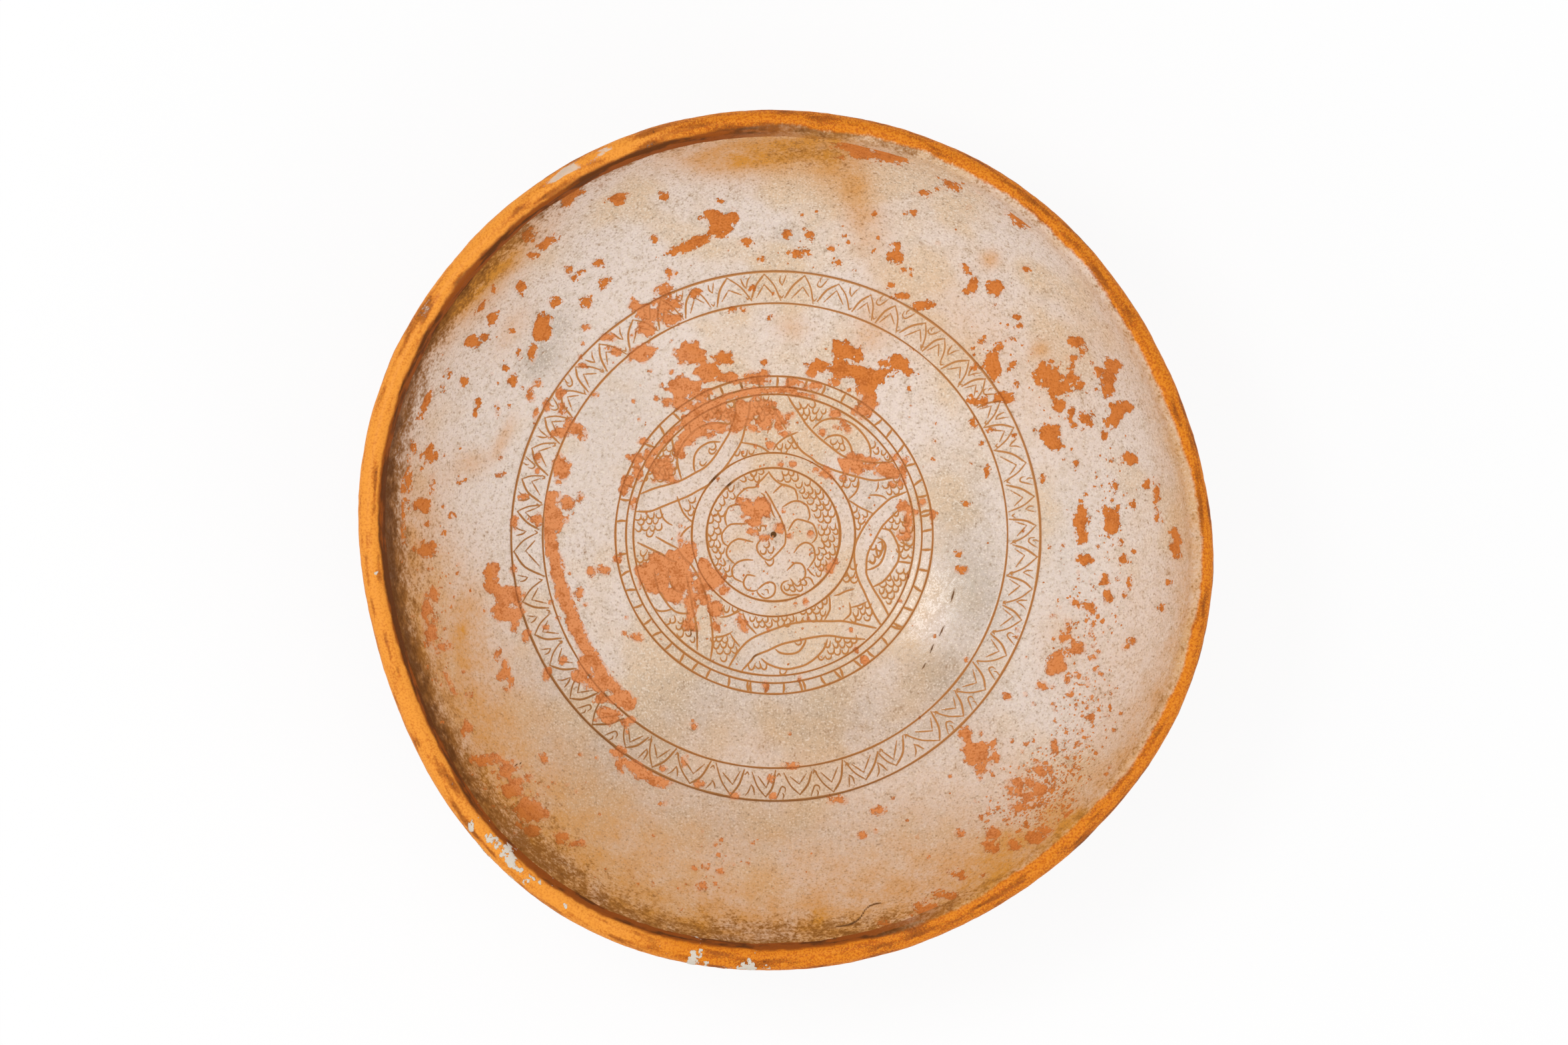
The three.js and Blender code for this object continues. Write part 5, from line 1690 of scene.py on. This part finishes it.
# %% Build the rim coat
def rim_coat():
    """A loop in section: inside up to the lip, over it and down outside, and back beneath.

    The face is raised off the clay by a constant, noise and the crusts, and eases down at its outer edge.
    """
    angle = angles(COAT_COLUMNS)
    degrees = np.degrees(angle)
    inside_share = np.linspace(0, 1, COAT_INSIDE_ROWS)[:, None]
    lip_share = np.arange(1, COAT_LIP_ROWS)[:, None] / COAT_LIP_ROWS
    outside_share = np.linspace(0, 1, COAT_OUTSIDE_ROWS)[:, None]
    inside_length = COAT_INSIDE * (1 - inside_share) + 0 * angle
    outside_length = (COAT_OUTSIDE + 2.2 * rough_noise(on_rim(angle), 11, 91, 4)) * outside_share
    inside_turn, outside_turn = turn_below_lip(inside_length), turn_below_lip(outside_length)

    def coat_face(raised_inside, raised_lip, raised_outside):
        """The three stretches, each raised off the clay by its own amount."""
        inside = section(inside_turn, COAT_DEPTH - raised_inside)
        lip = lip_arc(COAT_LIP_ROWS, raised_lip, COAT_COLUMNS)
        outside = section(outside_turn, outside_depth(outside_turn) + raised_outside)
        return np.concatenate([carried(*part, angle) for part in (inside, lip, outside)])

    plain = coat_face(COAT_RAISED, COAT_RAISED, COAT_RAISED)
    across = np.concatenate([0 * inside_share, lip_share, 1 + 0 * outside_share])
    over_lip = LIP_LENGTH * lip_share + 0 * angle
    travelled = np.concatenate([-inside_length, over_lip, LIP_LENGTH + outside_length])
    lime = lime_crusts(plain, degrees, across)
    lumps = 0.16 * noise(plain, 9, 92) + 0.07 * rough_noise(plain, 2.2, 93)
    raised = COAT_RAISED + lumps + 0.3 * np.clip(lime, 0, 1)
    lip_rows = slice(COAT_INSIDE_ROWS, COAT_INSIDE_ROWS + COAT_LIP_ROWS - 1)
    raised_inside = raised[:lip_rows.start] * (0.8 + 0.2 * eased(0, 0.18, inside_share))
    raised_outside = raised[lip_rows.stop:] * eased(1, 0.75, outside_share)
    raised_outside = raised_outside + COAT_BACK * eased(0.75, 1, outside_share)
    face = coat_face(raised_inside, raised[lip_rows], raised_outside)
    back = coat_face(COAT_BACK, COAT_BACK, 2 * COAT_BACK)[::-4]
    hidden = np.zeros((len(back), COAT_COLUMNS))
    marks = coat_marks(plain, degrees, across, travelled, lime)
    marks = {mark: np.concatenate([values, hidden]) for mark, values in marks.items()}
    grid = np.concatenate([face, back])
    return turned_skin("rim_amber", grid, marks, amber_finish, "rim_coat")


rim_coat()

# %% [markdown]
# ## Floor and light
#
# The photograph was taken on white, in soft light that comes mostly from the upper left: the gloss on
# the floor of the bowl, right of the medallion, tells where the main light stands. One soft box repeats
# it. A second one near the top edge and two broad ones, from the left and from the lower right, bring
# the wall to the photograph's tones, and a dim white surround fills the rest. The floor adds a share of
# plain white for the rays that are seen, so it looks white and still keeps the shadow.

# %% Floor and surround
FLOOR_HALF = 8.0
FLOOR_GREY = 0.95
FLOOR_WHITE = 0.88  # share of plain white that the camera sees on the floor
SURROUND_LEVEL = 0.64


def seen_rays(tree):
    """1 for rays from the camera and those that gloss or glass sends on, 0 for those that bring light."""
    path = tree.nodes.new("ShaderNodeLightPath")
    kinds = ("Is Camera Ray", "Is Glossy Ray", "Is Transmission Ray")
    camera_ray, glossy, passed = [Wire(tree, path.outputs[kind]) for kind in kinds]
    return camera_ray + glossy + passed


def pale_floor():
    """A large matt square under the bowl, mixed with plain white wherever it is seen."""
    mesh = bpy.data.meshes.new("floor")
    corners = [(x * FLOOR_HALF, y * FLOOR_HALF, 0.0) for x, y in [(-1, -1), (1, -1), (1, 1), (-1, 1)]]
    mesh.from_pydata(corners, [], [(0, 1, 2, 3)])
    floor = bpy.data.objects.new("floor", mesh)
    bpy.context.scene.collection.objects.link(floor)
    material = bpy.data.materials.new("pale_floor")
    material.use_nodes = True
    tree = material.node_tree
    shader = tree.nodes["Principled BSDF"]
    shader.inputs["Base Color"].default_value = (FLOOR_GREY, FLOOR_GREY, FLOOR_GREY, 1)
    shader.inputs["Roughness"].default_value = 1.0
    shader.inputs["Specular IOR Level"].default_value = 0.0
    seen = seen_rays(tree)
    white = Wire.node(tree, "ShaderNodeEmission", None, {"Color": (1, 1, 1, 1), "Strength": 1.0})
    plain = Wire(tree, shader.outputs[0])
    both = Wire.node(tree, "ShaderNodeMixShader", None, {0: seen * FLOOR_WHITE, 1: plain, 2: white})
    tree.links.new(both.socket, tree.nodes["Material Output"].inputs["Surface"])
    mesh.materials.append(material)


def surround():
    """A white world that lights the bowl dimly and looks fully white."""
    world = bpy.data.worlds.new("surround")
    bpy.context.scene.world = world
    world.use_nodes = True
    tree = world.node_tree
    seen = seen_rays(tree)
    level = SURROUND_LEVEL + (1 - SURROUND_LEVEL) * seen
    background = tree.nodes["Background"]
    background.inputs["Color"].default_value = (1, 1, 1, 1)
    tree.links.new(level.socket, background.inputs["Strength"])


pale_floor()
surround()
print(f"a floor {2 * FLOOR_HALF:.0f} m wide, and a surround that lights at {SURROUND_LEVEL} of white")

# %% Soft boxes
from mathutils import Matrix, Vector


def soft_box(name, azimuth, elevation, distance, wide, tall, level):
    """A lamp that faces the bowl; level is the share of white that it gives to a white floor."""
    lamp = bpy.data.lights.new(name, "AREA")
    lamp.shape = "RECTANGLE"
    lamp.size = wide
    lamp.size_y = tall
    rise = np.sin(np.radians(elevation))
    lamp.energy = level * np.pi**2 * distance**2 / rise
    flat = np.cos(np.radians(elevation))
    away = Vector((flat * np.cos(np.radians(azimuth)), flat * np.sin(np.radians(azimuth)), rise))
    stand = bpy.data.objects.new(name, lamp)
    aim = away.to_track_quat("Z", "Y").to_matrix().to_4x4()
    stand.matrix_world = Matrix.Translation(away * distance) @ aim
    bpy.context.scene.collection.objects.link(stand)
    print(f"{name}: {lamp.energy:.1f} W")


soft_box("key_light", azimuth=157, elevation=64.5, distance=1.4, wide=0.36, tall=0.3, level=0.17)
soft_box("top_light", azimuth=95, elevation=75, distance=1.6, wide=0.5, tall=0.5, level=0.05)
soft_box("left_light", azimuth=188, elevation=35, distance=1.8, wide=1.2, tall=1.0, level=0.08)
soft_box("fill_light", azimuth=318, elevation=45, distance=1.8, wide=1.2, tall=1.2, level=0.14)

# %% [markdown]
# ## The camera
#
# The circles in the photograph shift a little against each other with their height, so the camera
# looked almost straight into the bowl, tilted by three degrees. A long lens from two and a half metres
# gives the same weak perspective, and a small shift puts the wheel axis on the pixel where the
# photograph has it.

# %% Camera as in the photograph
PHOTO_WIDTH = 2353
PHOTO_HEIGHT = 1568
FOCAL_PIXELS = 12360
AXIS_PIXEL = (1160.4, 802.1)
CAMERA_DISTANCE = 2460 * MM
SENSOR = 36.0
TOWARDS_CAMERA = (-0.048, 0.030, 1)

back = Vector(TOWARDS_CAMERA).normalized()
right = Vector((0, 1, 0)).cross(back).normalized()
up = back.cross(right)
lens = bpy.data.cameras.new("camera")
lens.sensor_width = SENSOR
lens.lens = SENSOR * FOCAL_PIXELS / PHOTO_WIDTH
lens.shift_x = (PHOTO_WIDTH / 2 - AXIS_PIXEL[0]) / PHOTO_WIDTH
lens.shift_y = (AXIS_PIXEL[1] - PHOTO_HEIGHT / 2) / PHOTO_WIDTH
camera = bpy.data.objects.new("camera", lens)
stand = Vector((0, 0, FLOOR_HEIGHT * MM)) + back * CAMERA_DISTANCE
camera.matrix_world = Matrix.Translation(stand) @ Matrix((right, up, back)).transposed().to_4x4()
bpy.context.scene.collection.objects.link(camera)
bpy.context.scene.camera = camera
bpy.context.scene.view_settings.view_transform = "Standard"
print(f"camera with a {lens.lens:.0f} mm lens")
